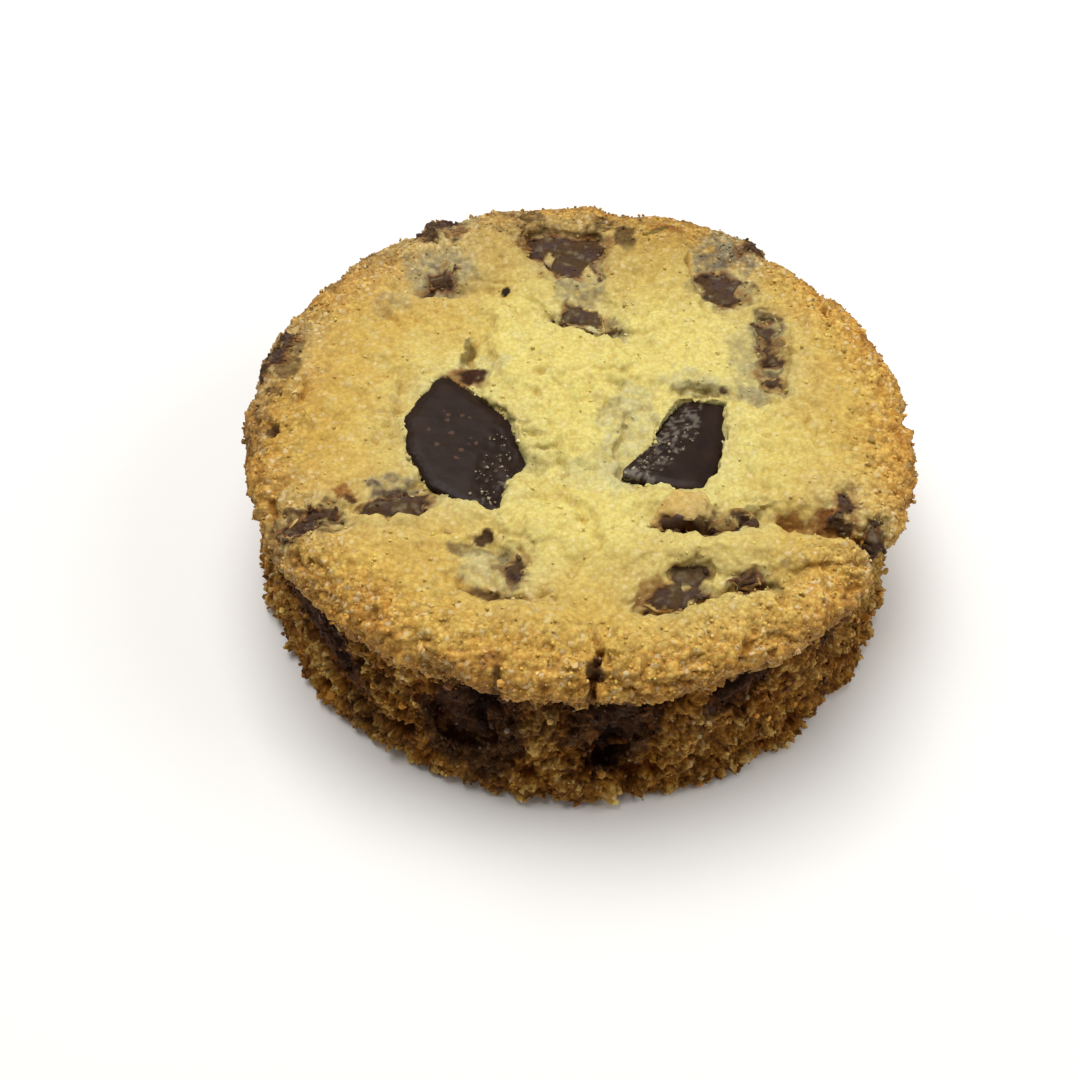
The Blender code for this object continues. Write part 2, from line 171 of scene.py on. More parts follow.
# Cracks of the crust: half width and depth, then the points of the line in x and y
CRACKS = (
    (0.50, 1.3, ((-13.2, 12.0), (-13.7, 9.5), (-14.3, 7.4), (-13.2, 5.8))),
    (0.45, 1.1, ((-5.6, 16.0), (-0.5, 14.3), (2.9, 12.6), (6.2, 11.6))),
    (0.40, 0.9, ((-12.9, -27.1), (-10.6, -29.0), (-6.8, -29.6), (-4.1, -29.8), (-1.0, -28.2))),
    (0.60, 1.6, ((9.2, -18.2), (12.3, -18.9), (16.4, -18.0), (19.3, -16.9), (21.7, -14.4))),
    (0.45, 1.1, ((7.6, -29.4), (10.2, -29.6), (14.5, -28.9), (18.9, -26.8), (24.4, -25.2))),
    (0.50, 1.2, ((23.0, -15.4), (26.0, -17.2), (30.0, -16.6), (33.0, -17.2), (36.0, -19.4))),
    (0.34, 2.2, ((2.9, -33.6), (3.5, -36.6), (3.1, -39.6), (3.3, -44.0))),
    (0.40, 0.9, ((-19.4, -8.6), (-17.9, -12.2), (-20.8, -15.0), (-25.2, -16.4))),
    (0.40, 1.0, ((-34.6, 3.4), (-33.6, 0.6), (-34.2, -2.4))),
    (0.45, 1.1, ((-38.6, -4.4), (-36.2, -7.0), (-36.6, -10.0))),
    (0.40, 1.0, ((10.4, 3.0), (13.6, 4.6), (16.8, 4.2), (18.4, 3.0))),
    (0.35, 0.8, ((-27.4, 18.4), (-25.0, 14.6), (-22.8, 11.6))),
    (0.35, 0.8, ((-9.6, 34.4), (-8.2, 30.2), (-6.4, 26.8), (-6.0, 23.6))),
    (0.35, 0.8, ((4.0, 33.6), (2.4, 29.4), (2.6, 23.8))),
    (0.35, 0.9, ((13.4, 30.4), (13.8, 25.8), (15.0, 21.4))),
    (0.35, 0.7, ((26.0, 17.0), (26.2, 11.0), (24.6, 3.4))),
    (0.35, 0.9, ((-33.6, -15.0), (-35.2, -17.6), (-34.4, -21.2))),
    (0.35, 0.8, ((24.6, -24.2), (29.6, -22.6), (33.8, -21.6))),
)

# Folds of the crust: height of the step and how far it reaches, then the points of the line in x and y
FOLDS = (
    (1.5, 4.0, ((-9.0, 16.6), (-5.1, 15.9), (-0.5, 14.4), (2.9, 12.6), (5.9, 11.8), (9.5, 11.6))),
    (1.0, 3.0, ((-3.0, -6.4), (-7.1, -2.9), (-11.9, 1.0), (-11.0, 7.5), (-12.3, 12.4), (-10.4, 16.0))),
    (0.9, 4.0, ((-4.8, -29.4), (-0.4, -26.4), (3.4, -21.8), (2.2, -16.4), (-1.6, -13.3), (-5.4, -14.4),
                (-8.8, -17.0))),
    (1.7, 3.5, ((4.0, -20.0), (8.6, -19.1), (12.5, -19.6), (16.6, -18.8), (21.0, -16.6), (27.0, -17.8),
                (34.0, -18.4))),
    (1.5, 3.0, ((3.6, -31.6), (8.2, -30.2), (14.5, -28.9), (19.0, -27.0), (25.0, -25.2), (32.5, -22.4))),
    (1.0, 2.4, ((-14.4, -25.4), (-12.0, -28.3), (-8.6, -29.9), (-4.0, -30.3), (0.5, -29.4))),
    (1.0, 3.0, ((-27.0, -17.4), (-24.4, -19.2), (-20.4, -19.9), (-17.0, -17.6), (-15.0, -14.6))),
    (1.0, 3.0, ((-35.5, -21.0), (-32.0, -23.4), (-28.6, -21.6), (-26.4, -18.4))),
    (0.9, 2.6, ((24.8, 22.0), (22.4, 17.0), (22.6, 10.0), (23.6, 4.0), (19.0, 1.0))),
    (0.9, 2.6, ((-26.5, 20.5), (-22.5, 19.0), (-17.5, 18.8), (-13.5, 21.0), (-8.6, 20.0))),
    (0.9, 2.6, ((12.6, 32.0), (13.6, 26.0), (15.2, 19.6), (19.8, 17.6))),
    (0.9, 2.4, ((10.0, 2.6), (5.6, -0.6), (4.4, -6.0), (5.4, -10.6), (9.2, -12.6), (15.0, -12.6))),
    (0.8, 2.4, ((-24.0, 8.6), (-22.2, 2.0), (-23.2, -5.0), (-21.4, -11.4))),
)

# Stains on the crust, and dark and olive patches painted as shade in its hollows, cracks and valleys: x, y,
# reach along and across, turn in degrees, colour and strength
CRUST_STAINS = (
    (6.0, -4.0, 3.6, 8.5, -8, OLIVE_STAIN_AND_SHADE, 0.85),
    (3.5, -10.5, 6.0, 3.0, 0, OLIVE_STAIN_AND_SHADE, 0.55),
    (-4.4, -9.2, 1.8, 1.4, 20, CAVITY_SHADE, 0.35),
    (14.8, 4.6, 4.4, 1.1, 4, CAVITY_SHADE, 0.85),
    (14.2, 5.6, 4.6, 1.9, 4, OLIVE_STAIN_AND_SHADE, 0.7),
    (-12.0, 6.0, 4.2, 2.4, 20, OLIVE_STAIN_AND_SHADE, 0.8),
    (-14.2, 4.4, 3.0, 1.7, 12, RUST, 0.8),
    (-13.4, 4.8, 2.2, 1.4, 20, COCOA, 1.0),
    (-14.6, 8.8, 0.85, 3.0, -8, CAVITY_SHADE, 0.85),
    (-19.5, 24.4, 5.0, 4.6, 0, FILM, 0.75),
    (-18.6, 23.0, 3.0, 2.6, 10, PURPLE, 0.6),
    (-20.4, 33.0, 4.2, 3.0, 0, PURPLE, 0.75),
    (-25.0, 17.0, 4.0, 2.0, 60, FILM, 0.45),
    (-1.4, 22.4, 4.2, 3.6, 0, FILM, 0.75),
    (-3.4, 29.6, 7.2, 6.6, 0, RUST, 0.55),
    (-3.4, 30.4, 6.2, 5.4, 0, COCOA, 0.45),
    (-4.6, 29.0, 1.3, 2.3, 0, FILM, 0.9),
    (1.6, 25.4, 1.3, 2.4, 0, FILM, 0.8),
    (0.4, 16.2, 5.4, 3.0, -30, PURPLE, 0.6),
    (1.0, 15.2, 3.4, 1.3, -35, OLIVE_STAIN_AND_SHADE, 0.8),
    (-8.2, 36.2, 3.4, 1.9, 10, COCOA, 0.75),
    (-10.4, 33.2, 2.2, 2.6, 10, COCOA, 0.45),
    (2.2, 35.6, 3.2, 1.9, 0, COCOA, 0.75),
    (4.8, 32.8, 1.5, 2.6, 10, COCOA, 0.8),
    (10.4, 34.6, 2.8, 0.9, -10, RUST, 0.60),
    (9.0, 33.8, 1.8, 0.6, 30, CAVITY_SHADE, 0.80),
    (-10.6, 21.8, 0.62, 0.75, 0, CHOCOLATE, 1.0),
    (18.4, 30.4, 4.4, 4.4, 0, FILM, 0.9),
    (17.6, 30.2, 2.8, 2.6, 30, PURPLE, 0.45),
    (18.4, 31.6, 1.4, 1.4, 0, FILM, 0.8),
    (18.0, 24.0, 4.6, 4.4, 0, PURPLE, 0.6),
    (21.6, 9.6, 3.4, 6.4, 0, FILM, 0.55),
    (23.6, 13.0, 2.6, 6.8, 0, PURPLE, 0.65),
    (21.4, 3.8, 4.0, 1.8, 0, FILM, 0.65),
    (24.0, 19.0, 2.2, 2.2, 0, COCOA, 0.6),
    (17.7, 4.8, 0.7, 0.6, 0, COCOA, 0.9),
    (-37.6, 0.2, 2.3, 0.9, -10, COCOA, 0.7),
    (-36.4, -7.0, 0.8, 1.4, 10, BLACK, 0.8),
    (-39.0, -6.0, 2.0, 5.0, 5, PURPLE, 0.5),
    (-36.4, 6.4, 1.5, 5.0, 0, COCOA, 0.7),
    (-19.8, -14.6, 4.2, 1.9, -8, FILM, 0.85),
    (-20.8, -16.2, 4.8, 2.6, 18, PURPLE, 0.75),
    (-26.4, -15.6, 1.9, 1.0, -40, RUST, 0.80),
    (-26.0, -16.2, 0.9, 0.6, -40, COCOA, 0.85),
    (-30.4, -20.4, 5.0, 3.0, 24, COCOA, 0.80),
    (-31.2, -21.2, 3.2, 1.5, 24, PURPLE, 0.6),
    (-10.0, -21.5, 1.0, 1.0, 0, COCOA, 0.95),
    (-11.4, -23.2, 3.1, 1.1, -8, PURPLE, 0.65),
    (-9.0, -25.6, 4.2, 2.4, -20, OLIVE_STAIN_AND_SHADE, 0.6),
    (-6.6, -26.0, 2.4, 2.5, 0, PURPLE, 0.6),
    (-8.6, -29.2, 4.6, 0.7, -14, PURPLE, 0.75),
    (15.0, -18.4, 6.6, 1.0, 10, COCOA, 0.85),
    (19.6, -15.8, 2.4, 1.4, 30, CAVITY_SHADE, 0.7),
    (9.4, -27.0, 2.3, 1.5, 40, RUST, 0.60),
    (13.6, -27.0, 2.4, 1.1, 25, PURPLE, 0.70),
    (19.8, -25.6, 2.8, 1.2, 8, PURPLE, 0.9),
    (22.9, -25.8, 1.1, 1.2, 0, CAVITY_SHADE, 0.9),
    (25.3, -15.9, 2.3, 1.4, -40, RUST, 0.80),
    (29.6, -15.2, 2.6, 1.4, 24, RUST, 0.75),
    (31.6, -13.4, 1.1, 1.9, 10, PURPLE, 0.8),
    (34.9, -17.0, 1.7, 2.4, 0, COCOA, 0.75),
    (-8.0, -38.2, 1.3, 1.2, 0, RUST, 0.65),
    (-7.2, -39.4, 0.6, 1.0, 0, COCOA, 0.8),
    (3.3, -38.4, 0.8, 1.5, 0, COCOA, 0.9),
    (3.1, -40.6, 0.45, 1.8, 0, BROWN, 0.9),
)

# Stains on the wall: azimuth in degrees and height, reach along and up, turn in degrees and strength
WALL_STAINS = (
    (-105, 10.5, 7.0, 8.5, 0, 0.85),
    (-93, 14.5, 5.0, 3.5, 0, 0.45),
    (-81, 11.5, 6.0, 7.5, 0, 0.85),
    (-57, 15.2, 7.4, 3.0, 24, 0.80),
    (-37, 14.6, 3.6, 3.0, 50, 0.75),
    (-138, 12.5, 10.5, 3.6, -28, 0.90),
    (-126, 5.0, 3.5, 4.0, 0, 0.40),
    (-168, 13.5, 4.0, 5.0, 0, 0.55),
    (172, 15.0, 4.5, 3.6, 10, 0.75),
    (13, 12.6, 6.0, 4.0, -15, 0.75),
    (48, 9.0, 5.0, 3.2, 35, 0.75),
    (72, 13.0, 6.4, 4.6, 8, 0.80),
    (110, 8.4, 4.6, 2.6, -40, 0.70),
    (141, 11.8, 6.2, 4.0, 20, 0.80),
)

# Dark hollows of the wall, dug in and painted black as shade: azimuth in degrees and height, reach along and
# up, turn in degrees and depth
WALL_HOLES = (
    (-103, 14.2, 3.0, 1.6, -12, 2.6),
    (-104.5, 11.6, 1.1, 2.8, 8, 2.0),
    (-81.5, 8.0, 2.0, 2.8, 0, 2.6),
    (-84.5, 15.6, 3.2, 1.1, 10, 1.6),
    (-72, 16.6, 2.6, 1.0, 0, 1.3),
    (-60, 15.6, 3.4, 1.2, 24, 1.6),
    (-133, 11.6, 4.0, 1.2, -30, 1.6),
    (-118, 6.0, 1.6, 1.2, 0, 1.3),
    (-45, 8.5, 1.4, 1.0, 10, 1.2),
    (-20, 12.0, 2.4, 1.1, -10, 1.3),
    (12, 13.0, 2.8, 1.4, -15, 1.8),
    (35, 7.0, 1.8, 1.2, 20, 1.3),
    (73, 13.4, 2.6, 1.8, 8, 2.0),
    (95, 16.0, 2.8, 1.1, 5, 1.4),
    (142, 12.0, 2.6, 1.6, 20, 1.8),
    (165, 8.0, 1.6, 1.4, 0, 1.3),
    (-165, 13.0, 2.2, 1.4, 0, 1.6),
)

# Camera of the photograph: lens for a 36 mm sensor, distance from the middle of the cookie, height above it
# as an angle, roll, and how far off the picture's middle the cookie's middle lies, in pixels of a 1080 frame
PICTURE = 1080
SENSOR = 36.0
FOCAL_PIXELS = 1552.9
CAMERA_DISTANCE = 199.5
CAMERA_ELEVATION = 47.74
CAMERA_ROLL = -3.25
AIM_PIXEL = (575.6, 475.8)
AIM_HEIGHT = 12.4

# Lights: name, place and width of the lamp in metres, power and colour
LIGHTS = (
    ("window", (-0.10, 0.12, 0.60), 0.45, 3.7, (1.0, 0.985, 0.96)),
    ("side", (0.45, 0.0, 0.40), 0.30, 0.9, (1.0, 0.98, 0.95)),
)
LIGHT_AIM = Vector((0, 0, 0.01))
SKY_COLOUR = (1.0, 0.975, 0.94, 1)
SKY_STRENGTH = 0.20
FLOOR_COLOUR = (0.95, 0.95, 0.945, 1)


def smooth(value, low, high):
    """0 below low, 1 above high, and a soft step between."""
    share = np.clip((value - low) / (high - low), 0, 1)
    return share * share * (3 - 2 * share)


def mixed(colours, colour, share):
    """An array of colours mixed towards one colour by a share each."""
    return colours + (np.array(colour) - colours) * share[:, None]


def same_colour(points, colour):
    return np.tile(np.array(colour), (len(points), 1))


def bell(value, width):
    """1 where the value is 0, fading to 0 on both sides."""
    return np.exp(-((value / width) ** 2))


def link(obj):
    bpy.context.scene.collection.objects.link(obj)
    return obj


def surface_of(mesh):
    """The vertices of a mesh, in millimetres, and their normals."""
    vectors = []
    for kind in ("co", "normal"):
        flat = np.empty(len(mesh.vertices) * 3)
        mesh.vertices.foreach_get(kind, flat)
        vectors.append(flat.reshape(-1, 3))
    return vectors[0] / MM, vectors[1]


def put_points(mesh, points):
    mesh.vertices.foreach_set("co", (points * MM).ravel())
    mesh.update()


def put_colours(mesh, colours, name="paint"):
    layer = mesh.color_attributes.new(name, "FLOAT_COLOR", "POINT")
    layer.data.foreach_set("color", np.c_[colours, np.ones(len(colours))].ravel())


def put_shares(mesh, shares, name):
    put_colours(mesh, np.tile(shares[:, None], (1, 3)), name)


def read_noise(points, size, shift, read):
    """What a noise function says at each point, with lumps of the given size."""
    place = Vector(shift)
    return np.array([read(Vector(p) / size + place) for p in points])


def noise_at(points, size, shift=0.0):
    """Perlin noise of about -1 to 1."""
    return read_noise(points, size, (shift, shift * 0.7, shift * 1.3), noise.noise)


def crumpled(points, amount, size):
    """The points pushed about by noise, so that a pattern read there is uneven."""
    return points + amount * read_noise(points, size, (0, 0, 0), noise.noise_vector)


def grains_at(points, size, shift=0.0):
    """Rounded grains packed together: about 0.5 on top of each, down to -0.5 in the creases between."""
    nearest = read_noise(points, size, (shift, shift, shift), lambda at: noise.voronoi(at)[0][:2])
    crease = np.clip((nearest[:, 1] - nearest[:, 0]) / 0.55, 0, 1)
    return np.sqrt(crease) - 0.55 - 0.25 * nearest[:, 0]


def chips_at(points, size, shift=0.0):
    """Angular chips: one flat facet to each cell, of its own height and tilt, from about -0.5 to 0.5."""
    place = Vector((shift, shift * 0.4, shift * 1.9))

    def chip(at):
        centre = noise.voronoi(at)[1][0]
        height = noise.cell_vector(centre * 53.1).x
        tilt = noise.cell_vector(centre * 91.7 + place) - Vector((0.5, 0.5, 0.5))
        return height - 0.5 + (at - centre).dot(tilt) * 1.1

    return read_noise(points, size, place, chip)


def pits_at(points, size, share, shift=0.0):
    """Missing grains: 1 in some cells, with steep sides, and 0 in the others."""

    def pit(at):
        near, centres = noise.voronoi(at)
        missing = noise.cell_vector(centres[0] * 37.7).y < share
        return min(1.0, (near[1] - near[0]) / 0.35) if missing else 0.0

    return read_noise(points, size, (shift, shift * 0.6, shift * 1.7), pit)


def own_at(points, size, shift=0.0):
    """A value for each grain of its own, from 0 to 1."""

    def own(at):
        return noise.cell_vector(noise.voronoi(at)[1][0] * 71.3).z

    return read_noise(points, size, (shift, shift * 0.8, shift * 1.1), own)


def ellipse(along, up, reach_along, reach_up, turn):
    """1 inside an ellipse, fading to 0 outside it."""
    angle = radians(turn)
    u = (along * cos(angle) + up * sin(angle)) / reach_along
    v = (up * cos(angle) - along * sin(angle)) / reach_up
    return 1 - smooth(np.sqrt(u * u + v * v), 0.55, 1.25)


def spot(points, x, y, along, across, turn):
    """An ellipse on the crust, seen from above."""
    return ellipse(points[:, 0] - x, points[:, 1] - y, along, across, turn)


def wall_spot(points, azimuth, height, along, up, turn):
    """An ellipse on the wall, seen from outside."""
    angle = np.degrees(np.arctan2(points[:, 1], points[:, 0]))
    around = np.radians((angle - azimuth + 180) % 360 - 180) * RADIUS
    return ellipse(around, points[:, 2] - height, along, up, turn)


def near_rim(points, start, end):
    """0 further in from the rim than start, and 1 nearer to it than end."""
    return smooth(np.hypot(points[:, 0], points[:, 1]), RADIUS - start, RADIUS - end)


def wander(points, distance, plainness):
    """Moves points along the surface, so that the edges of chunks and pockets are ragged and fit."""
    radius = np.hypot(points[:, 0], points[:, 1])
    wall = near_rim(points, 9, 5) * (1 - smooth(points[:, 2], LIP_LOW - 1, LIP_LOW + 1))
    facing = np.c_[points[:, :2] / radius[:, None] * wall[:, None], 1 - wall]
    facing /= np.linalg.norm(facing, axis=1)[:, None]
    moved = np.zeros(points.shape)
    for amount, size in WANDER:
        moved += amount * read_noise(points, size, (0, 0, 0), noise.noise_vector)
    moved -= facing * np.sum(moved * facing, axis=1)[:, None]
    return points + moved * (bell(distance, 2.5) * (1 - 0.75 * plainness))[:, None]


def plain_near(points, trees):
    """1 close to the chunks whose edges are straight, fading to 0."""
    return bell(distances(points, trees["plain"]), 1.5)


def distances(points, tree):
    return np.array([tree.find_nearest(Vector(p))[3] for p in points])


def along_line(points, line):
    """How far each point lies from a line of x and y points, seen from above, and a taper towards its ends.

    The distance is above 0 on the right of the line and below 0 on its left.
    """
    best = np.full(len(points), 1e3)
    place = np.zeros(len(points))
    side = np.ones(len(points))
    for number, (a, b) in enumerate(zip(line, line[1:])):
        a, along = np.array(a), np.array(b) - np.array(a)
        offset = points[:, :2] - a
        share = np.clip(offset @ along / (along @ along), 0, 1)
        distance = np.linalg.norm(offset - share[:, None] * along, axis=1)
        nearer = distance < best
        place = np.where(nearer, (number + share) / (len(line) - 1), place)
        side = np.where(nearer, np.sign(offset[:, 0] * along[1] - offset[:, 1] * along[0]), side)
        best = np.minimum(best, distance)
    return best * side, np.sin(pi * np.clip(place, 0.02, 0.98))


def folds_at(points):
    """The crust's steps where one layer lies over the next, and 1 in the crease at the left of each, where
    shade is painted.
    """
    height = np.zeros(len(points))
    crease = np.zeros(len(points))
    ragged = 0.8 * noise_at(points, 3.0, 27.0) + 0.4 * noise_at(points, 1.1, 37.0)
    for step, reach, line in FOLDS:
        distance, taper = along_line(points, line)
        distance += ragged
        tapered = taper ** 0.6
        near = np.exp(-np.abs(distance) / reach)
        height += 0.6 * step * tapered * near * np.tanh(distance / 0.30)
        crease = np.maximum(crease, tapered * bell(distance + 0.25, 0.40))
    return height, crease


def cracks_at(points, wall):
    """How deep the cracks cut at each point."""
    depth = np.zeros(len(points))
    uneven = 0.75 + 0.5 * noise_at(points, 1.6, 15.0)
    ragged = 0.35 * noise_at(points, 0.9, 17.0)
    for width, deep, line in CRACKS:
        distance, taper = along_line(points, line)
        tapered = np.sqrt(taper)
        depth += deep * tapered * uneven * bell(np.abs(distance) + ragged, width * tapered)
    return depth * (1 - wall)


def frame_mesh(solid, name):
    """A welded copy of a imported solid's mesh as a new object."""
    shape = bmesh.new()
    shape.from_mesh(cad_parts[solid].data)
    bmesh.ops.remove_doubles(shape, verts=shape.verts, dist=0.002 * MM)
    mesh = bpy.data.meshes.new(name)
    shape.to_mesh(mesh)
    shape.free()
    mesh.materials.clear()
    return link(bpy.data.objects.new(name, mesh))


def remeshed(obj, size):
    """Gives the object even small squares and softens its edges."""
    grid = obj.modifiers.new("grid", "REMESH")
    grid.mode = "VOXEL"
    grid.voxel_size = size * MM
    soften = obj.modifiers.new("soften", "SMOOTH")
    soften.iterations = SOFTEN_ROUNDS
    bpy.context.view_layer.update()
    evaluated = obj.evaluated_get(bpy.context.evaluated_depsgraph_get())
    fine = bpy.data.meshes.new_from_object(evaluated)
    obj.modifiers.clear()
    coarse = obj.data
    obj.data = fine
    bpy.data.meshes.remove(coarse)
    fine.name = obj.name
    return obj


def zones(points, normals):
    """How much each point belongs to the wall, to the browned lip and to the flat underside."""
    wall = (1 - smooth(points[:, 2], LIP_LOW - 1.0, LIP_LOW + 1.2)) * near_rim(points, *WALL_REACH)
    under = (1 - smooth(points[:, 2], 0.1, 0.9)) * smooth(-normals[:, 2], 0.3, 0.8)
    lip = near_rim(points, *LIP_REACH) * (1 - wall)
    return wall, lip, under


# The dough


def layers_at(points, chosen, layers, pattern):
    """Several sizes of one pattern, laid over one another where they are wanted."""
    height = np.zeros(len(points))
    if chosen.any():
        for number, (size, deep) in enumerate(layers):
            height[chosen] += deep * pattern(points[chosen], size, number * 7.3)
    return height


def holes_at(points):
    """How deep the dark hollows of the wall are."""
    depth = np.zeros(len(points))
    for *place, deep in WALL_HOLES:
        depth += deep * wall_spot(points, *place)
    return depth * near_rim(points, 9, 6)


def missing_at(points, chosen, pits):
    """How deep the pits of several sizes are where they are wanted."""
    depth = np.zeros(len(points))
    for number, (size, share, deep) in enumerate(pits):
        depth[chosen] += deep * pits_at(points[chosen], size, share, number * 5.9)
    return depth


def wall_relief(points, uneven, wall):
    """The crumb of the wall: how far it stands out."""
    chosen = wall > 0.01
    chips = layers_at(uneven, chosen, CHIPS, chips_at)
    return (chips - missing_at(uneven, chosen, WALL_PITS) - holes_at(points)) * wall


def crust_relief(points, uneven, share, lumps, chips, pits):
    """The crust, craggy in some places and smooth in others: how far it stands out."""
    craggy = 0.60 + 0.60 * smooth(noise_at(points, 6.0, 33.0), -0.25, 0.35)
    chosen = share > 0.01
    rounded = layers_at(uneven, chosen, lumps, grains_at)
    grain = (rounded + layers_at(uneven, chosen, chips, chips_at)) * craggy
    return (grain - missing_at(uneven, chosen, pits)) * share


def flake_at(points):
    """1 on the flake in front of the right chunk, how far it stands up, and 1 along its front edge, where its
    dark brown crust and the shadow under it are painted.
    """
    ragged = 0.7 * noise_at(points, 1.2, 41.0) + 0.3 * noise_at(points, 0.5, 43.0)
    front = -along_line(points, FLAKE_FRONT)[0] + ragged
    back = along_line(points, FLAKE_BACK)[0] + 0.5 * ragged
    flake = smooth(front, 0.0, 0.3) * smooth(back, 0.0, 0.6)
    rise = flake * (0.25 + 0.75 * smooth(back, 0.0, 3.6)) * (1 + 0.25 * ragged)
    return flake, rise, bell(front, 0.35) * smooth(back, -0.2, 0.2)


def relief(points, zone, quiet, edge):
    """How far the crumb stands out of the smooth dough, and the part of it that is grain, lowered in the
    cracks, the fold creases and along the flake's front edge so that painted shade falls there.
    """
    wall, lip, under = zone
    small = (1 - 0.5 * quiet) * (1 - 0.45 * (1 - smooth(edge, -0.2, 0.2)))
    small = small * (1 - 0.45 * smooth(points[:, 1], 20, 36) * (1 - wall))
    top = np.clip(1 - wall - lip, 0, 1)
    uneven = crumpled(points, 0.55, 1.1)
    grain = wall_relief(points, uneven, wall)
    grain += crust_relief(points, uneven, lip, LIP_LUMPS, LIP_CHIPS, LIP_PITS)
    grain += crust_relief(points, uneven, top, TOP_LUMPS, TOP_CHIPS, TOP_PITS)
    folds, crease = folds_at(points)
    swells = (noise_at(points, 8.0, 6.1) * 0.60 + noise_at(points, 4.2, 9.1) * 0.42 + folds) * (1 - wall)
    cracks = cracks_at(points, wall)
    _, flake_rise, flake_edge_and_shadow = flake_at(points)
    moved = (grain * small + swells - cracks + FLAKE_THICK * flake_rise * (1 - wall)) * (1 - under)
    return moved, grain * small - cracks * 1.5 - flake_edge_and_shadow - 0.5 * crease * (1 - wall)


def crust_colours(points, blotch):
    """Lemon in the middle, golden and then tan towards the rim, browner at the back and at the left; the
    browning at the back stands partly for painted shade.
    """
    radius = np.hypot(points[:, 0], points[:, 1])
    angle = np.arctan2(points[:, 1], points[:, 0])
    broad = noise_at(points, 11, 2.0)
    left = 0.5 - 0.5 * np.cos(angle)
    back = 0.5 + 0.5 * np.sin(angle)
    golden = smooth(radius + 4.5 * broad + 2.5 * blotch + 5.0 * left + 3.0 * back, 19, 38)
    reach = radius + 3.0 * broad + 2.6 * blotch + 2.4 * left + 3.2 * back + 1.1 * (TOP - points[:, 2])
    tan = smooth(reach, 33.5, 45.5)
    brown = smooth(reach, 42.0, 48.0)
    colours = mixed(same_colour(points, LEMON), GOLDEN, golden)
    return mixed(mixed(colours, TAN, tan), BROWN, brown * 0.75)


def stained_crust(colours, points, open_share, ragged):
    """The melted chocolate and its film on the crust, and the dark and olive patches painted as shade in its
    hollows and valleys.
    """
    broad = crumpled(points, 1.5, 2.2)
    narrow = crumpled(points, 0.7, 1.2)
    mottled = np.clip(0.80 + 1.1 * noise_at(points, 0.75, 71.0), 0.25, 1.1)
    for *place, colour, strength in CRUST_STAINS:
        reach = min(place[2:4])
        uneven = points if reach < SPECK else narrow if reach < THIN_STAIN else broad
        inside = spot(uneven, *place)
        share = smooth(inside * (1 + 1.4 * ragged), 0.05, 0.75) * strength * open_share
        if reach > THIN_STAIN:
            share = share * mottled
        colours = mixed(colours, colour, np.clip(share, 0, 1))
    return colours


def beside_chocolate(points, trees):
    """How far each point lies outside the outline of the nearest melted chunk; below 0 inside it."""
    chocolate = distances(points, trees["melted"])
    dough = distances(points, trees["dough"])
    outside = np.sqrt(np.maximum(chocolate * chocolate - FILL_RISE * FILL_RISE, 0))
    return outside - np.maximum(dough - POCKET_GAP, 0)


def crumb_over(points):
    """1 where crumb lies over the melted chocolate."""
    over = np.zeros(len(points))
    for place in CRUMB_OVER:
        over = np.maximum(over, spot(points, *place))
    return over


def melt_edge(points, beside):
    """How far each point lies outside the ragged edge of the melted chocolate; below 0 on it."""
    islands = 1.5 * smooth(noise_at(points, 1.6, 61.0), 0.34, 0.50)
    ragged = 1.5 * noise_at(points, 2.1, 14.0) + 0.9 * noise_at(points, 0.9, 16.0)
    return beside + ragged + islands + 3.0 * crumb_over(points)


def melted(colours, points, edge, wall):
    """Adds the melted chocolate: rusty at its ragged edge, then brown under a grey and purple film."""
    colours = mixed(colours, RUST, bell(edge - 0.30, 0.38) * 0.6)
    colours = mixed(colours, COCOA, (1 - smooth(edge, -0.15, 0.25)) * 0.94)
    inside = (1 - smooth(edge, -0.9, -0.1)) * (1 - wall)
    film = smooth(noise_at(points, 1.7, 52.0) + 0.6 * noise_at(points, 0.7, 54.0), -0.25, 0.30)
    colours = mixed(colours, PURPLE, inside * film * 0.85)
    pale = smooth(noise_at(points, 1.3, 57.0) + 0.5 * noise_at(points, 0.6, 58.0), 0.20, 0.45)
    return mixed(colours, FILM, inside * pale * 0.35)


def crumb_colours(points, grain, ragged):
    """The crumb of the wall: dark amber, each grain lighter or darker, honey where it stands out, partly as a
    painted highlight, and paler golden at the right as painted light.
    """
    own = own_at(crumpled(points, 0.35, 0.7), 0.95)
    dark = smooth(ragged + 0.7 * (0.5 - own), -0.1, 0.5)
    crumb = mixed(same_colour(points, AMBER), UMBER, dark)
    # Honey on the grains that stand out: partly their own colour, partly a painted highlight on their tops
    crumb = mixed(crumb, HONEY, smooth(grain * 0.7 + 0.9 * (own - 0.5) + 0.4 * ragged, 0.20, 0.75))
    # Painted light: paler towards the right and higher up the wall, where more light falls on it
    painted_light = smooth(points[:, 0], RADIUS - 12, RADIUS - 5) * smooth(points[:, 2], 5, 12)
    return mixed(crumb, GOLDEN, 0.45 * painted_light)


def with_hollow_shade(colours, points, wall_share):
    """The colours, painted black as shade in the hollows of the wall."""
    return mixed(colours, BLACK, np.clip(holes_at(points) * 0.5, 0, 0.9) * wall_share)


def stained_wall(colours, points, wall_share, ragged):
    """The chocolate that went into the crumb of the wall, and the painted shade in its hollows."""
    for *place, strength in WALL_STAINS:
        inside = wall_spot(points, *place)
        share = smooth(inside * (1 + ragged), 0.15, 0.60) * strength * wall_share
        colours = mixed(colours, COCOA, np.clip(share, 0, 1))
    return with_hollow_shade(colours, points, wall_share)


def blotches(points):
    """The broad blotches of the paint, and the ragged pattern that breaks up its edges."""
    blotch = noise_at(points, 3.2, 5.0)
    return blotch, 0.55 * blotch + 0.5 * noise_at(points, 0.9, 8.0)


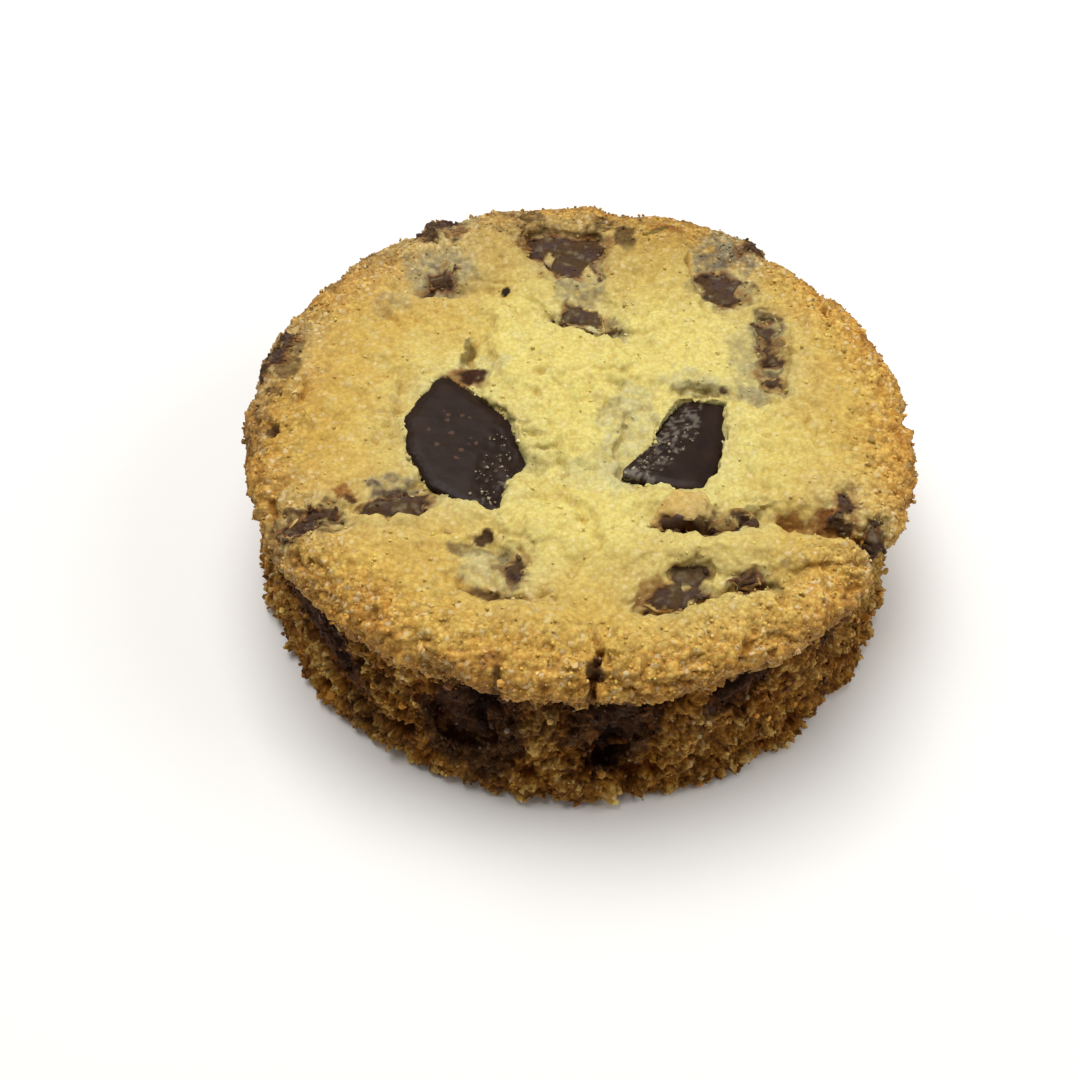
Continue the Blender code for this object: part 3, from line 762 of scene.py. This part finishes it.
def crust_paint(points, blotch, ragged):
    """The paint of the crust before any chocolate: baked colours, and grains lighter or darker at the rim,
    then darker towards the back and the left rim as painted shade.
    """
    flake, _, flake_edge_and_shadow = flake_at(points)
    colours = mixed(crust_colours(points, blotch), TAN, flake * 0.75)
    # The flake's front edge: its own dark brown crust, and a painted shadow under it
    colours = mixed(colours, COCOA, flake_edge_and_shadow * 0.9)
    own = own_at(crumpled(points, 0.30, 0.6), 0.85, 3.0)
    rim = near_rim(points, 14, 3)
    # Painted shade: darker towards the back, and towards the left at the rim
    shaded = 0.24 * smooth(points[:, 1], 16, 38) + 0.14 * smooth(-points[:, 0], 20, 36) * rim
    colours = colours * (1 + (own - 0.5) * (0.10 + 0.32 * rim) - shaded)[:, None]
    colours = mixed(colours, OLIVE_STAIN_AND_SHADE, 0.22 * smooth(points[:, 1], 10, 30) * smooth(-points[:, 0], 4, 20))
    return mixed(colours, OLIVE_STAIN_AND_SHADE, smooth(-ragged, 0.25, 0.7) * (1 - rim) * 0.5)


def with_crevice_shade(colours, grain, wall):
    """The colours, darker in the crevices as painted shade."""
    shade_share = np.clip(-grain * (0.38 + 0.29 * wall), 0, 0.8)
    return np.clip(colours * (1 - shade_share[:, None] * np.array(CREVICE_SHADE)), 0.002, 1)


def dough_colours(points, grain, zone, edge, chocolate_distance):
    """The paint of the dough, with painted shade in its crevices and in the hollows of the wall."""
    wall, _, under = zone
    blotch, ragged = blotches(points)
    colours = crust_paint(points, blotch, ragged)
    sides = wall > 0.01
    crumb = crumb_colours(points[sides], grain[sides], ragged[sides])
    colours[sides] += (crumb - colours[sides]) * np.clip(wall[sides] * 1.1, 0, 1)[:, None]
    colours = mixed(colours, TAN, under)
    near = np.exp(-chocolate_distance / 2.6) * (1 - wall) * (0.6 + 0.5 * blotch)
    colours = mixed(colours, OLIVE_STAIN_AND_SHADE, np.clip(near, 0, 1))
    open_share = (1 - wall) * (1 - under) * (1 - 0.8 * crumb_over(points))
    colours = stained_crust(colours, points, open_share, ragged)
    colours = stained_wall(colours, points, np.clip(wall + under, 0, 1), ragged)
    return with_crevice_shade(melted(colours, points, edge, wall), grain, wall)


def facing_of(points, in_wall):
    """Which way the face of a chunk looks: outward in the wall and up in the crust."""
    if in_wall:
        return points * (1, 1, 0) / np.hypot(points[:, 0], points[:, 1])[:, None]
    return np.tile((0.0, 0.0, 1.0), (len(points), 1))


def filling(replaced, name):
    """A melted chunk, grown sideways into its pocket and up to the crust."""
    block = frame_mesh(replaced, name)
    points, normals = surface_of(block.data)
    face = facing_of(points, "wall" in replaced)
    up = np.sum(normals * face, axis=1)
    aside = normals - face * up[:, None]
    length = np.maximum(np.linalg.norm(aside, axis=1), 0.3)
    rise = face * (FILL_RISE * (up > 0.2))[:, None]
    put_points(block.data, points + aside / length[:, None] * FILL_ASIDE + rise)
    return block


def filled_dough(melted_nodes):
    """The dough with the pockets of the melted chunks filled."""
    dough = frame_mesh("dough", "baked_dough")
    shape = bmesh.new()
    shape.from_mesh(dough.data)
    for node in melted_nodes:
        block = filling(node, "filling")
        shape.from_mesh(block.data)
        spare = block.data
        bpy.data.objects.remove(block)
        bpy.data.meshes.remove(spare)
    shape.to_mesh(dough.data)
    shape.free()
    return remeshed(dough, DOUGH_GRID)


def finished(piece, finish, replaced=None):
    """Gives a piece its material, sets it on the root body, and hides the solid that it replaces."""
    piece.data.materials.append(finish)
    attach(piece, "root")
    if replaced:
        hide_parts(replaced)
    return piece


def make_dough(melted_nodes, trees, finish):
    dough = filled_dough(melted_nodes)
    points, normals = surface_of(dough.data)
    zone = zones(points, normals)
    wall, lip, under = zone
    distance = distances(points, trees["chocolate"])
    plainness = plain_near(points, trees)
    edge = melt_edge(points, beside_chocolate(points, trees))
    moved, grain = relief(points, zone, bell(distance, 0.4) * plainness, edge)
    colours = dough_colours(points, grain, zone, edge, distance)
    shifted = wander(points, distance + 5 * under, plainness) + normals * moved[:, None]
    shifted[:, 2] = np.maximum(shifted[:, 2], 0)
    put_points(dough.data, shifted)
    put_colours(dough.data, colours)
    put_shares(dough.data, wall + lip, "coarse")
    dough.data.shade_smooth()
    return finished(dough, finish, "dough")


# The chocolate


def beyond_line(points, line):
    """How far each point lies on the +X side of a line that runs towards -Y; 0 on its other side."""
    return np.maximum(-along_line(points, line)[0], 0)


def plain_relief(points, name):
    """How far a plain chunk's surface stands out of its solid: nearly smooth, and rough where it bloomed."""
    rough = noise_at(points, 1.1, 7.0) * 0.16 + noise_at(points, 0.6, 8.0) * 0.12
    even = noise_at(points, 2.4, 4.0) * 0.05 + noise_at(points, 0.8, 6.0) * 0.02
    return even + rough * bloom_share(points, name)


def plain_colours(points, name):
    """The paint of a plain chunk: dark, with bloom on a part of it."""
    colours = same_colour(points, CHOCOLATE)
    _, low, high = BLOOM_LINES[name]
    rough = noise_at(points, 1.0, 12.0) + 1.0 * noise_at(points, 0.45, 2.0)
    front = smooth(-points[:, 1], 7, 13) if name == "chunk_left" else 1
    return mixed(colours, BLOOM, smooth(rough * bloom_share(points, name) * front, low, high) * 0.75)


def melted_colours(points, grain, wall, edge):
    """The paint of a chunk that melted: crumb outside its ragged edge and chocolate inside, with painted
    shade in hollows and crevices.
    """
    blotch, ragged = blotches(points)
    if wall.any():
        colours = crumb_colours(points, grain, ragged)
    else:
        colours = mixed(crust_paint(points, blotch, ragged), OLIVE_STAIN_AND_SHADE, np.full(len(points), 0.4))
    return with_crevice_shade(with_hollow_shade(melted(colours, points, edge, wall), points, wall), grain, wall)


def bloom_share(points, name):
    """Where a plain chunk is rough and covered in bloom: 1 there, 0 on its smooth face."""
    line = BLOOM_LINES[name][0]
    beyond = smooth(beyond_line(points, line), 0.0, 0.6)
    return beyond if name == "chunk_left" else 1 - beyond


def facet_drop(points, name):
    """How far the second facet of a plain chunk falls away from the first."""
    line = BLOOM_LINES[name][0]
    if name == "chunk_left":
        return beyond_line(points, line) * 0.16
    return np.maximum(along_line(points, line)[0], 0) * 0.10


def make_plain_chunk(replaced, trees, finish):
    """A chunk with a smooth face and straight edges, grown a little sideways into its pocket."""
    chunk = remeshed(frame_mesh(replaced, replaced + "_chocolate"), CHOCOLATE_GRID)
    points, normals = surface_of(chunk.data)
    facing = normals[:, 2]
    moved = SIDE_GROWTH * smooth(1 - np.abs(facing), 0.3, 0.8) + plain_relief(points, replaced)
    shifted = wander(points, distances(points, trees["chocolate"]), plain_near(points, trees))
    shifted = shifted + normals * moved[:, None]
    shifted[:, 2] -= facet_drop(points, replaced) * smooth(facing, -0.2, 0.5)
    put_points(chunk.data, shifted)
    put_colours(chunk.data, plain_colours(points, replaced))
    put_shares(chunk.data, spot(points, *FLECKS), "fleck")
    chunk.data.shade_smooth()
    return finished(chunk, finish, replaced)


def make_melted_chunk(replaced, trees, finish):
    """A chunk that melted into the crumb, proud inside its ragged edge and under the crumb outside it."""
    chunk = remeshed(filling(replaced, replaced + "_chocolate"), CHOCOLATE_GRID)
    in_wall = "wall" in replaced
    points, normals = surface_of(chunk.data)
    upper = smooth(np.sum(normals * facing_of(points, in_wall), axis=1), 0.3, 0.8)
    beside = beside_chocolate(points, trees)
    edge = melt_edge(points, beside)
    nothing = np.zeros(len(points))
    wall, lip, _ = zones(points, normals)
    wall, lip = (nothing + 1, nothing) if in_wall else (nothing, lip + wall)
    raised, grain = relief(points, (wall, lip, nothing), nothing, edge)
    shown = smooth(-edge, 0.0, 0.3) * smooth(-beside, 0.1, 0.5)
    moved = (raised + (MELT_RISE + MELT_SINK) * shown - MELT_SINK) * upper - MELT_SINK * (1 - upper)
    shifted = wander(points, distances(points, trees["chocolate"]), plain_near(points, trees))
    put_points(chunk.data, shifted + normals * moved[:, None])
    put_colours(chunk.data, melted_colours(points, grain, wall, edge))
    put_shares(chunk.data, wall + lip, "coarse")
    chunk.data.shade_smooth()
    return finished(chunk, finish, replaced)


def surface_tree(objects):
    """One search tree of several meshes, in millimetres."""
    corners = []
    faces = []
    for obj in objects:
        start = len(corners)
        corners.extend(v.co / MM for v in obj.data.vertices)
        faces.extend([start + i for i in p.vertices] for p in obj.data.polygons)
    return BVHTree.FromPolygons(corners, faces)


# The loose grains


def grain_shapes(draw):
    """A few uneven grains to copy: corners about the middle with a reach of about 1, and triangles."""
    shapes = []
    for _ in range(GRAIN_KINDS):
        shape = bmesh.new()
        bmesh.ops.create_icosphere(shape, subdivisions=1, radius=1)
        place = Vector(draw.uniform(-50, 50, 3))
        for vertex in shape.verts:
            vertex.co *= 1 + GRAIN_SQUEEZE * noise.noise(vertex.co * 1.3 + place)
        corners = np.array([v.co for v in shape.verts]) * draw.uniform(0.75, 1.15, 3)
        triangles = np.array([[v.index for v in f.verts] for f in shape.faces])
        shape.free()
        shapes.append((corners, triangles))
    return shapes


def random_turns(draw, count):
    """Turns drawn evenly, as matrices."""
    q = draw.normal(size=(count, 4))
    q /= np.linalg.norm(q, axis=1)[:, None]
    w, x, y, z = q.T
    rows = [
        [1 - 2 * (y * y + z * z), 2 * (x * y - z * w), 2 * (x * z + y * w)],
        [2 * (x * y + z * w), 1 - 2 * (x * x + z * z), 2 * (y * z - x * w)],
        [2 * (x * z - y * w), 2 * (y * z + x * w), 1 - 2 * (x * x + y * y)],
    ]
    return np.array(rows).transpose(2, 0, 1)


def scattered(name, shapes, draw, places, sizes, colours):
    """One mesh of many grains, each a turned copy of one of the shapes."""
    turns = random_turns(draw, len(places))
    kinds = draw.integers(len(shapes), size=len(places))
    points = []
    faces = []
    paint = []
    start = 0
    for kind, (corners, triangles) in enumerate(shapes):
        chosen = np.nonzero(kinds == kind)[0]
        turned = np.einsum("nij,kj->nki", turns[chosen], corners) * sizes[chosen][:, None, None]
        points.append((turned + places[chosen][:, None, :]).reshape(-1, 3))
        shifts = start + np.arange(len(chosen)) * len(corners)
        faces.append((triangles[None, :, :] + shifts[:, None, None]).reshape(-1, 3))
        paint.append(np.repeat(colours[chosen], len(corners), axis=0))
        start += len(chosen) * len(corners)
    mesh = bpy.data.meshes.new(name)
    mesh.from_pydata(np.concatenate(points) * MM, [], np.concatenate(faces).tolist())
    put_colours(mesh, np.concatenate(paint))
    return link(bpy.data.objects.new(name, mesh))


def drawn_places(draw, carrier, weight, count):
    """Random vertices of a piece, drawn by weight: where they are, their normals and their colours."""
    points, normals = surface_of(carrier.data)
    colours = np.empty(len(points) * 4)
    carrier.data.color_attributes["paint"].data.foreach_get("color", colours)
    colours = colours.reshape(-1, 4)[:, :3]
    chances = weight(points, normals)
    chosen = draw.choice(len(points), size=count, replace=False, p=chances / chances.sum())
    return points[chosen], normals[chosen], colours[chosen]


def make_grains(
    carrier, name, seed, count, sizes, weight, brighten, finish, colour=None, flat=True, sunk=(-0.3, 0.3)
):
    """Grains set on a piece, in its colour where they lie, brightened a little, or in one of their own."""
    draw = np.random.default_rng(SEED + seed)
    count = min(count, len(carrier.data.vertices) // 4)
    places, normals, colours = drawn_places(draw, carrier, weight, count)
    if colour:
        colours = same_colour(places, colour)
    reach = sizes[0] + (sizes[1] - sizes[0]) * draw.uniform(0, 1, count) ** 2
    aside = draw.uniform(-0.2, 0.2, (count, 3))
    places = places + aside + normals * (reach * draw.uniform(*sunk, count))[:, None]
    places[:, 2] = np.maximum(places[:, 2], reach * 0.8)
    bright = brighten[0] + (brighten[1] - brighten[0]) * draw.uniform(0, 1, count) ** 1.6
    painted = np.minimum(colours * bright[:, None], SUGAR)
    grains = scattered(name, grain_shapes(draw), draw, places, reach, painted)
    if not flat:
        grains.data.shade_smooth()
    return finished(grains, finish)


# Materials


def set_values(made, **values):
    """Sets a node's settings, and by its name each socket: to a value, or linked to another socket."""
    for key, value in values.items():
        if hasattr(made, key):
            setattr(made, key, value)
        else:
            fill(made.inputs[key.replace("_", " ")], value)
    return made


def fill(socket, value):
    if isinstance(value, bpy.types.NodeSocket):
        socket.id_data.links.new(value, socket)
    else:
        socket.default_value = value


def node(tree, kind, **values):
    return set_values(tree.nodes.new(kind), **values)


def attribute(tree, name, output="Fac"):
    return node(tree, "ShaderNodeAttribute", attribute_name=name).outputs[output]


def shader_nodes(name):
    material = bpy.data.materials.new(name)
    material.use_nodes = True
    tree = material.node_tree
    return material, tree, tree.nodes["Principled BSDF"]


def painted_nodes(name):
    """A new material, its nodes and its shader, the place in the object, and the paint."""
    material, tree, shader = shader_nodes(name)
    place = tree.nodes.new("ShaderNodeTexCoord").outputs["Object"]
    return material, tree, shader, place, attribute(tree, "paint", "Color")


def bumps(tree, shader, layers):
    """Chained bumps: each a height, its strength, and its depth in metres."""
    below = {}
    for height, strength, depth in layers:
        bump = node(tree, "ShaderNodeBump", Height=height, Strength=strength, Distance=depth, **below)
        below = {"Normal": bump.outputs["Normal"]}
    set_values(shader, **below)


def noise_node(tree, place, size, detail=2.0, roughness=0.5):
    """Noise with lumps of a size in millimetres."""
    scale = 1 / (size * MM)
    made = node(tree, "ShaderNodeTexNoise", Vector=place, Scale=scale, Detail=detail, Roughness=roughness)
    return made.outputs["Fac"]


def cell_node(tree, place, size):
    """Cells of a size in millimetres, uneven in shape."""
    uneven = crumpled_place(tree, place)
    return node(tree, "ShaderNodeTexVoronoi", Vector=uneven, Scale=1 / (size * MM)).outputs


def ramp(tree, source, low, high, start=0.0, end=1.0):
    """A value stretched from low..high to start..end."""
    span = {"From_Min": low, "From_Max": high, "To_Min": start, "To_Max": end}
    return node(tree, "ShaderNodeMapRange", Value=source, **span).outputs["Result"]


def product(tree, first, second):
    made = node(tree, "ShaderNodeMath", operation="MULTIPLY")
    fill(made.inputs[0], first)
    fill(made.inputs[1], second)
    return made.outputs["Value"]


def mix_colours(tree, share, first, second, blend="MIX"):
    """Two colours mixed; each is a socket or a colour, and the share a socket or a number."""
    made = node(tree, "ShaderNodeMix", data_type="RGBA", blend_type=blend)
    for number, value in ((0, share), (6, first), (7, second)):
        fill(made.inputs[number], (*value, 1.0) if isinstance(value, tuple) else value)
    return made.outputs[2]


def soft_inside(shader, weight):
    """Lets a little light through the surface, as baked dough and sugar do."""
    radius = (1.0, 0.60, 0.22)
    set_values(shader, Subsurface_Weight=weight, Subsurface_Radius=radius, Subsurface_Scale=0.45 * MM)


def dough_material():
    """Grains of sugar and crumb, each of its own brightness and gloss, with painted shade in the gaps between
    them, and duller where the paint is dark.
    """
    material, tree, shader, place, paint = painted_nodes("baked dough")
    fine = noise_node(tree, place, 0.45, 3.0, 0.6)
    cells = cell_node(tree, place, 0.55)
    own = node(tree, "ShaderNodeSeparateColor", Color=cells["Color"]).outputs
    shade = ramp(tree, own["Red"], 0.0, 1.0, 0.28, 0.80)
    coarse = attribute(tree, "coarse")
    varied = mix_colours(tree, ramp(tree, coarse, 0.0, 1.0, 0.26, 0.88), paint, shade, "SOFT_LIGHT")
    varied = mix_colours(tree, 0.30, varied, ramp_colour(tree, fine), "SOFT_LIGHT")
    sugary = product(tree, ramp(tree, coarse, 0.0, 1.0, 0.22, 0.55), ramp(tree, paint, 0.10, 0.40))
    pale = product(tree, ramp(tree, own["Green"], 0.90, 0.92), sugary)
    varied = mix_colours(tree, pale, varied, SUGAR)
    # Painted shade in the gaps between the grains, strongest on the lip and the wall
    edges = ramp(tree, cells["Distance"], 0.40, 0.70)
    between = product(tree, edges, ramp(tree, coarse, 0.0, 1.0, 0.22, 0.40))
    shaded = mix_colours(tree, between, varied, (0.50, 0.28, 0.07), "MULTIPLY")
    bright = ramp(tree, paint, 0.05, 0.35)
    gloss = product(tree, ramp(tree, own["Green"], 0.35, 1.0, 0.0, 0.62), bright)
    set_values(shader, Base_Color=shaded, Roughness=ramp(tree, gloss, 0.0, 1.0, 0.92, 0.0))
    set_values(shader, Specular_IOR_Level=0.24, Specular_Tint=(1.0, 0.86, 0.66, 1))
    soft_inside(shader, 0.18)
    raised = ramp(tree, cells["Distance"], 0.0, 0.7, 1.0, 0.0)
    rounded = ramp(tree, coarse, 0.0, 1.0, 0.25, 0.55)
    uneven = ramp(tree, coarse, 0.0, 1.0, 0.40, 1.0)
    facets = (own["Blue"], uneven, 0.12 * MM)
    bumps(tree, shader, ((raised, rounded, 0.13 * MM), facets, (fine, 0.6, 0.06 * MM)))
    return material


def crumpled_place(tree, place):
    """The place pushed about by noise, so that the cells read there are uneven."""
    push = node(tree, "ShaderNodeTexNoise", Vector=place, Scale=1 / (0.7 * MM), Detail=2.0)
    pushed = node(tree, "ShaderNodeVectorMath", operation="MULTIPLY_ADD")
    for number, value in enumerate((push.outputs["Color"], (0.5 * MM, 0.5 * MM, 0.5 * MM), place)):
        fill(pushed.inputs[number], value)
    return pushed.outputs["Vector"]


def ramp_colour(tree, source):
    """A dark to light grey from a value, to vary a colour with."""
    made = node(tree, "ShaderNodeValToRGB", Fac=source)
    greys = ((0.3, (0.22, 0.20, 0.18, 1)), (0.7, (0.80, 0.80, 0.78, 1)))
    for element, (position, grey) in zip(made.color_ramp.elements, greys):
        element.position = position
        element.color = grey
    return made.outputs["Color"]


def grain_material():
    material, tree, shader, place, paint = painted_nodes("crumbs")
    fine = noise_node(tree, place, 0.4, 2.0)
    varied = mix_colours(tree, 0.3, paint, ramp_colour(tree, fine), "SOFT_LIGHT")
    set_values(shader, Base_Color=varied, Roughness=0.6, Specular_IOR_Level=0.25)
    soft_inside(shader, 0.2)
    bumps(tree, shader, ((fine, 0.5, 0.08 * MM),))
    return material


def sugar_material():
    material, tree, shader, place, paint = painted_nodes("sugar")
    fine = noise_node(tree, place, 0.3, 1.0)
    pale = mix_colours(tree, 0.16, paint, (0.92, 0.82, 0.52))
    gloss = ramp(tree, fine, 0.3, 0.7, 0.15, 0.45)
    set_values(shader, Base_Color=pale, Roughness=gloss, Specular_IOR_Level=0.5)
    soft_inside(shader, 0.5)
    return material


def chocolate_material():
    """Satin dark chocolate with a few pale flecks."""
    material, tree, shader, place, paint = painted_nodes("plain chocolate")
    broad = noise_node(tree, place, 3.5, 2.0)
    fine = noise_node(tree, place, 0.35, 3.0, 0.6)
    finish = mix_colours(tree, 0.5, paint, ramp_colour(tree, broad), "SOFT_LIGHT")
    flecks = ramp(tree, cell_node(tree, place, 1.15)["Distance"], 0.31, 0.23)
    shown = product(tree, flecks, ramp(tree, attribute(tree, "fleck"), 0.2, 0.5))
    finish = mix_colours(tree, shown, finish, (0.085, 0.045, 0.028))
    gloss = ramp(tree, fine, 0.3, 0.7, 0.36, 0.50)
    set_values(shader, Base_Color=finish, Roughness=gloss, Specular_IOR_Level=0.13)
    bumps(tree, shader, ((broad, 0.3, 0.09 * MM), (fine, 0.6, 0.03 * MM)))
    return material


# Floor, light and camera


def make_floor():
    mesh = bpy.data.meshes.new("floor")
    shape = bmesh.new()
    bmesh.ops.create_grid(shape, x_segments=1, y_segments=1, size=1.5)
    shape.to_mesh(mesh)
    shape.free()
    floor = link(bpy.data.objects.new("floor", mesh))
    material, _, shader = shader_nodes("pale floor")
    set_values(shader, Base_Color=FLOOR_COLOUR, Roughness=0.8)
    mesh.materials.append(material)


def make_lights():
    world = bpy.data.worlds.new("studio")
    world.use_nodes = True
    set_values(world.node_tree.nodes["Background"], Color=SKY_COLOUR, Strength=SKY_STRENGTH)
    bpy.context.scene.world = world
    bpy.context.scene.view_settings.view_transform = "Standard"
    for name, place, size, power, colour in LIGHTS:
        data = bpy.data.lights.new(name, "AREA")
        data.size = size
        data.energy = power
        data.color = colour
        lamp = link(bpy.data.objects.new(name, data))
        lamp.location = place
        lamp.rotation_euler = (LIGHT_AIM - Vector(place)).to_track_quat("-Z", "Y").to_euler()


def make_camera():
    """Looks along +Y and down at the middle of the cookie, then turns it to its place in the picture."""
    elevation = radians(CAMERA_ELEVATION)
    back = Vector((0, -cos(elevation), sin(elevation)))
    side = Vector((1, 0, 0))
    looking = Matrix((side, back.cross(side), back)).transposed()
    roll = Matrix.Rotation(radians(CAMERA_ROLL), 3, "Z")
    across = (AIM_PIXEL[0] - PICTURE / 2) / FOCAL_PIXELS
    down = (AIM_PIXEL[1] - PICTURE / 2) / FOCAL_PIXELS
    aside = Vector((0, 0, -1)).rotation_difference(Vector((across, -down, -1))).to_matrix()
    turn = looking @ roll.transposed() @ aside.transposed()
    data = bpy.data.cameras.new("camera")
    data.sensor_width = SENSOR
    data.lens = SENSOR * FOCAL_PIXELS / PICTURE
    data.clip_start = 0.01
    camera = link(bpy.data.objects.new("camera", data))
    place = (Vector((0, 0, AIM_HEIGHT)) + back * CAMERA_DISTANCE) * MM
    camera.matrix_world = Matrix.Translation(place) @ turn.to_4x4()
    bpy.context.scene.camera = camera


# Everything together


def zone_weight(wall_share, lip_share, top_share, foot_share=0.0):
    """A function that gives each point its chance to carry a grain, by the zone that it lies in."""

    def weight(points, normals):
        wall, lip, under = zones(points, normals)
        top = np.clip(1 - wall - lip, 0, 1)
        foot = bell(points[:, 2] - 0.8, 0.9) * (np.hypot(points[:, 0], points[:, 1]) > RADIUS - 2.5)
        shares = wall * wall_share + lip * lip_share + top * top_share + foot * foot_share
        return shares * (1 - under) + 1e-9

    return weight


def edge_weight(trees):
    """A function that gives the points close round the chocolate the best chance to carry a grain."""

    def weight(points, normals):
        wall, _, under = zones(points, normals)
        near = distances(points, trees["chocolate"])
        return bell(near - 0.55, 0.3) * (1 - 0.5 * wall) * (1 - under) + 1e-9

    return weight


def bloom_weight(name):
    """A function that gives the bloomed front of a plain chunk the best chance to carry a grain."""

    def weight(points, normals):
        front = smooth(-points[:, 1], -2, 12)
        return bloom_share(points, name) * smooth(normals[:, 2], 0.4, 0.8) * (0.15 + front) + 1e-9

    return weight


def main():
    make_camera()
    make_lights()
    make_floor()
    chunk_nodes = sorted(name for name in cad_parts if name.startswith("chunk"))
    melted_nodes = [name for name in chunk_nodes if name not in PLAIN_CHUNKS]
    kinds = {"chocolate": chunk_nodes, "plain": PLAIN_CHUNKS, "melted": melted_nodes, "dough": ["dough"]}
    trees = {kind: surface_tree([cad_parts[name] for name in names]) for kind, names in kinds.items()}
    baked = dough_material()
    dough = make_dough(melted_nodes, trees, baked)
    satin = chocolate_material()
    chunks = {}
    for name in chunk_nodes:
        if name in PLAIN_CHUNKS:
            chunks[name] = make_plain_chunk(name, trees, satin)
        else:
            make_melted_chunk(name, trees, baked)
    crumbs = grain_material()
    sets = (
        ("coarse_crumbs", 1, COARSE_GRAINS, COARSE_SIZE, zone_weight(1, 0.12, 0, 0.6), (0.7, 2.1), True),
        ("fine_crumbs", 2, FINE_GRAINS, FINE_SIZE, zone_weight(1, 0.8, 0.10), (0.8, 1.6), False),
        ("edge_crumbs", 4, EDGE_GRAINS, EDGE_SIZE, edge_weight(trees), (0.8, 1.15), True),
    )
    for name, seed, count, sizes, weight, brighten, flat in sets:
        make_grains(dough, name, seed, count, sizes, weight, brighten, crumbs, flat=flat)
    make_grains(
        dough, "sugar_grains", 3, SUGAR_GRAINS, SUGAR_SIZE, zone_weight(0.25, 1, 0.35), (0.95, 1.25),
        sugar_material(), sunk=(-0.75, -0.2),
    )
    for number, name in enumerate(PLAIN_CHUNKS):
        make_grains(
            chunks[name], name + "_crumbs", 5 + number, BLOOM_GRAINS, BLOOM_SIZE, bloom_weight(name),
            (0.35, 1.0), crumbs, colour=(0.50, 0.43, 0.31),
        )


main()
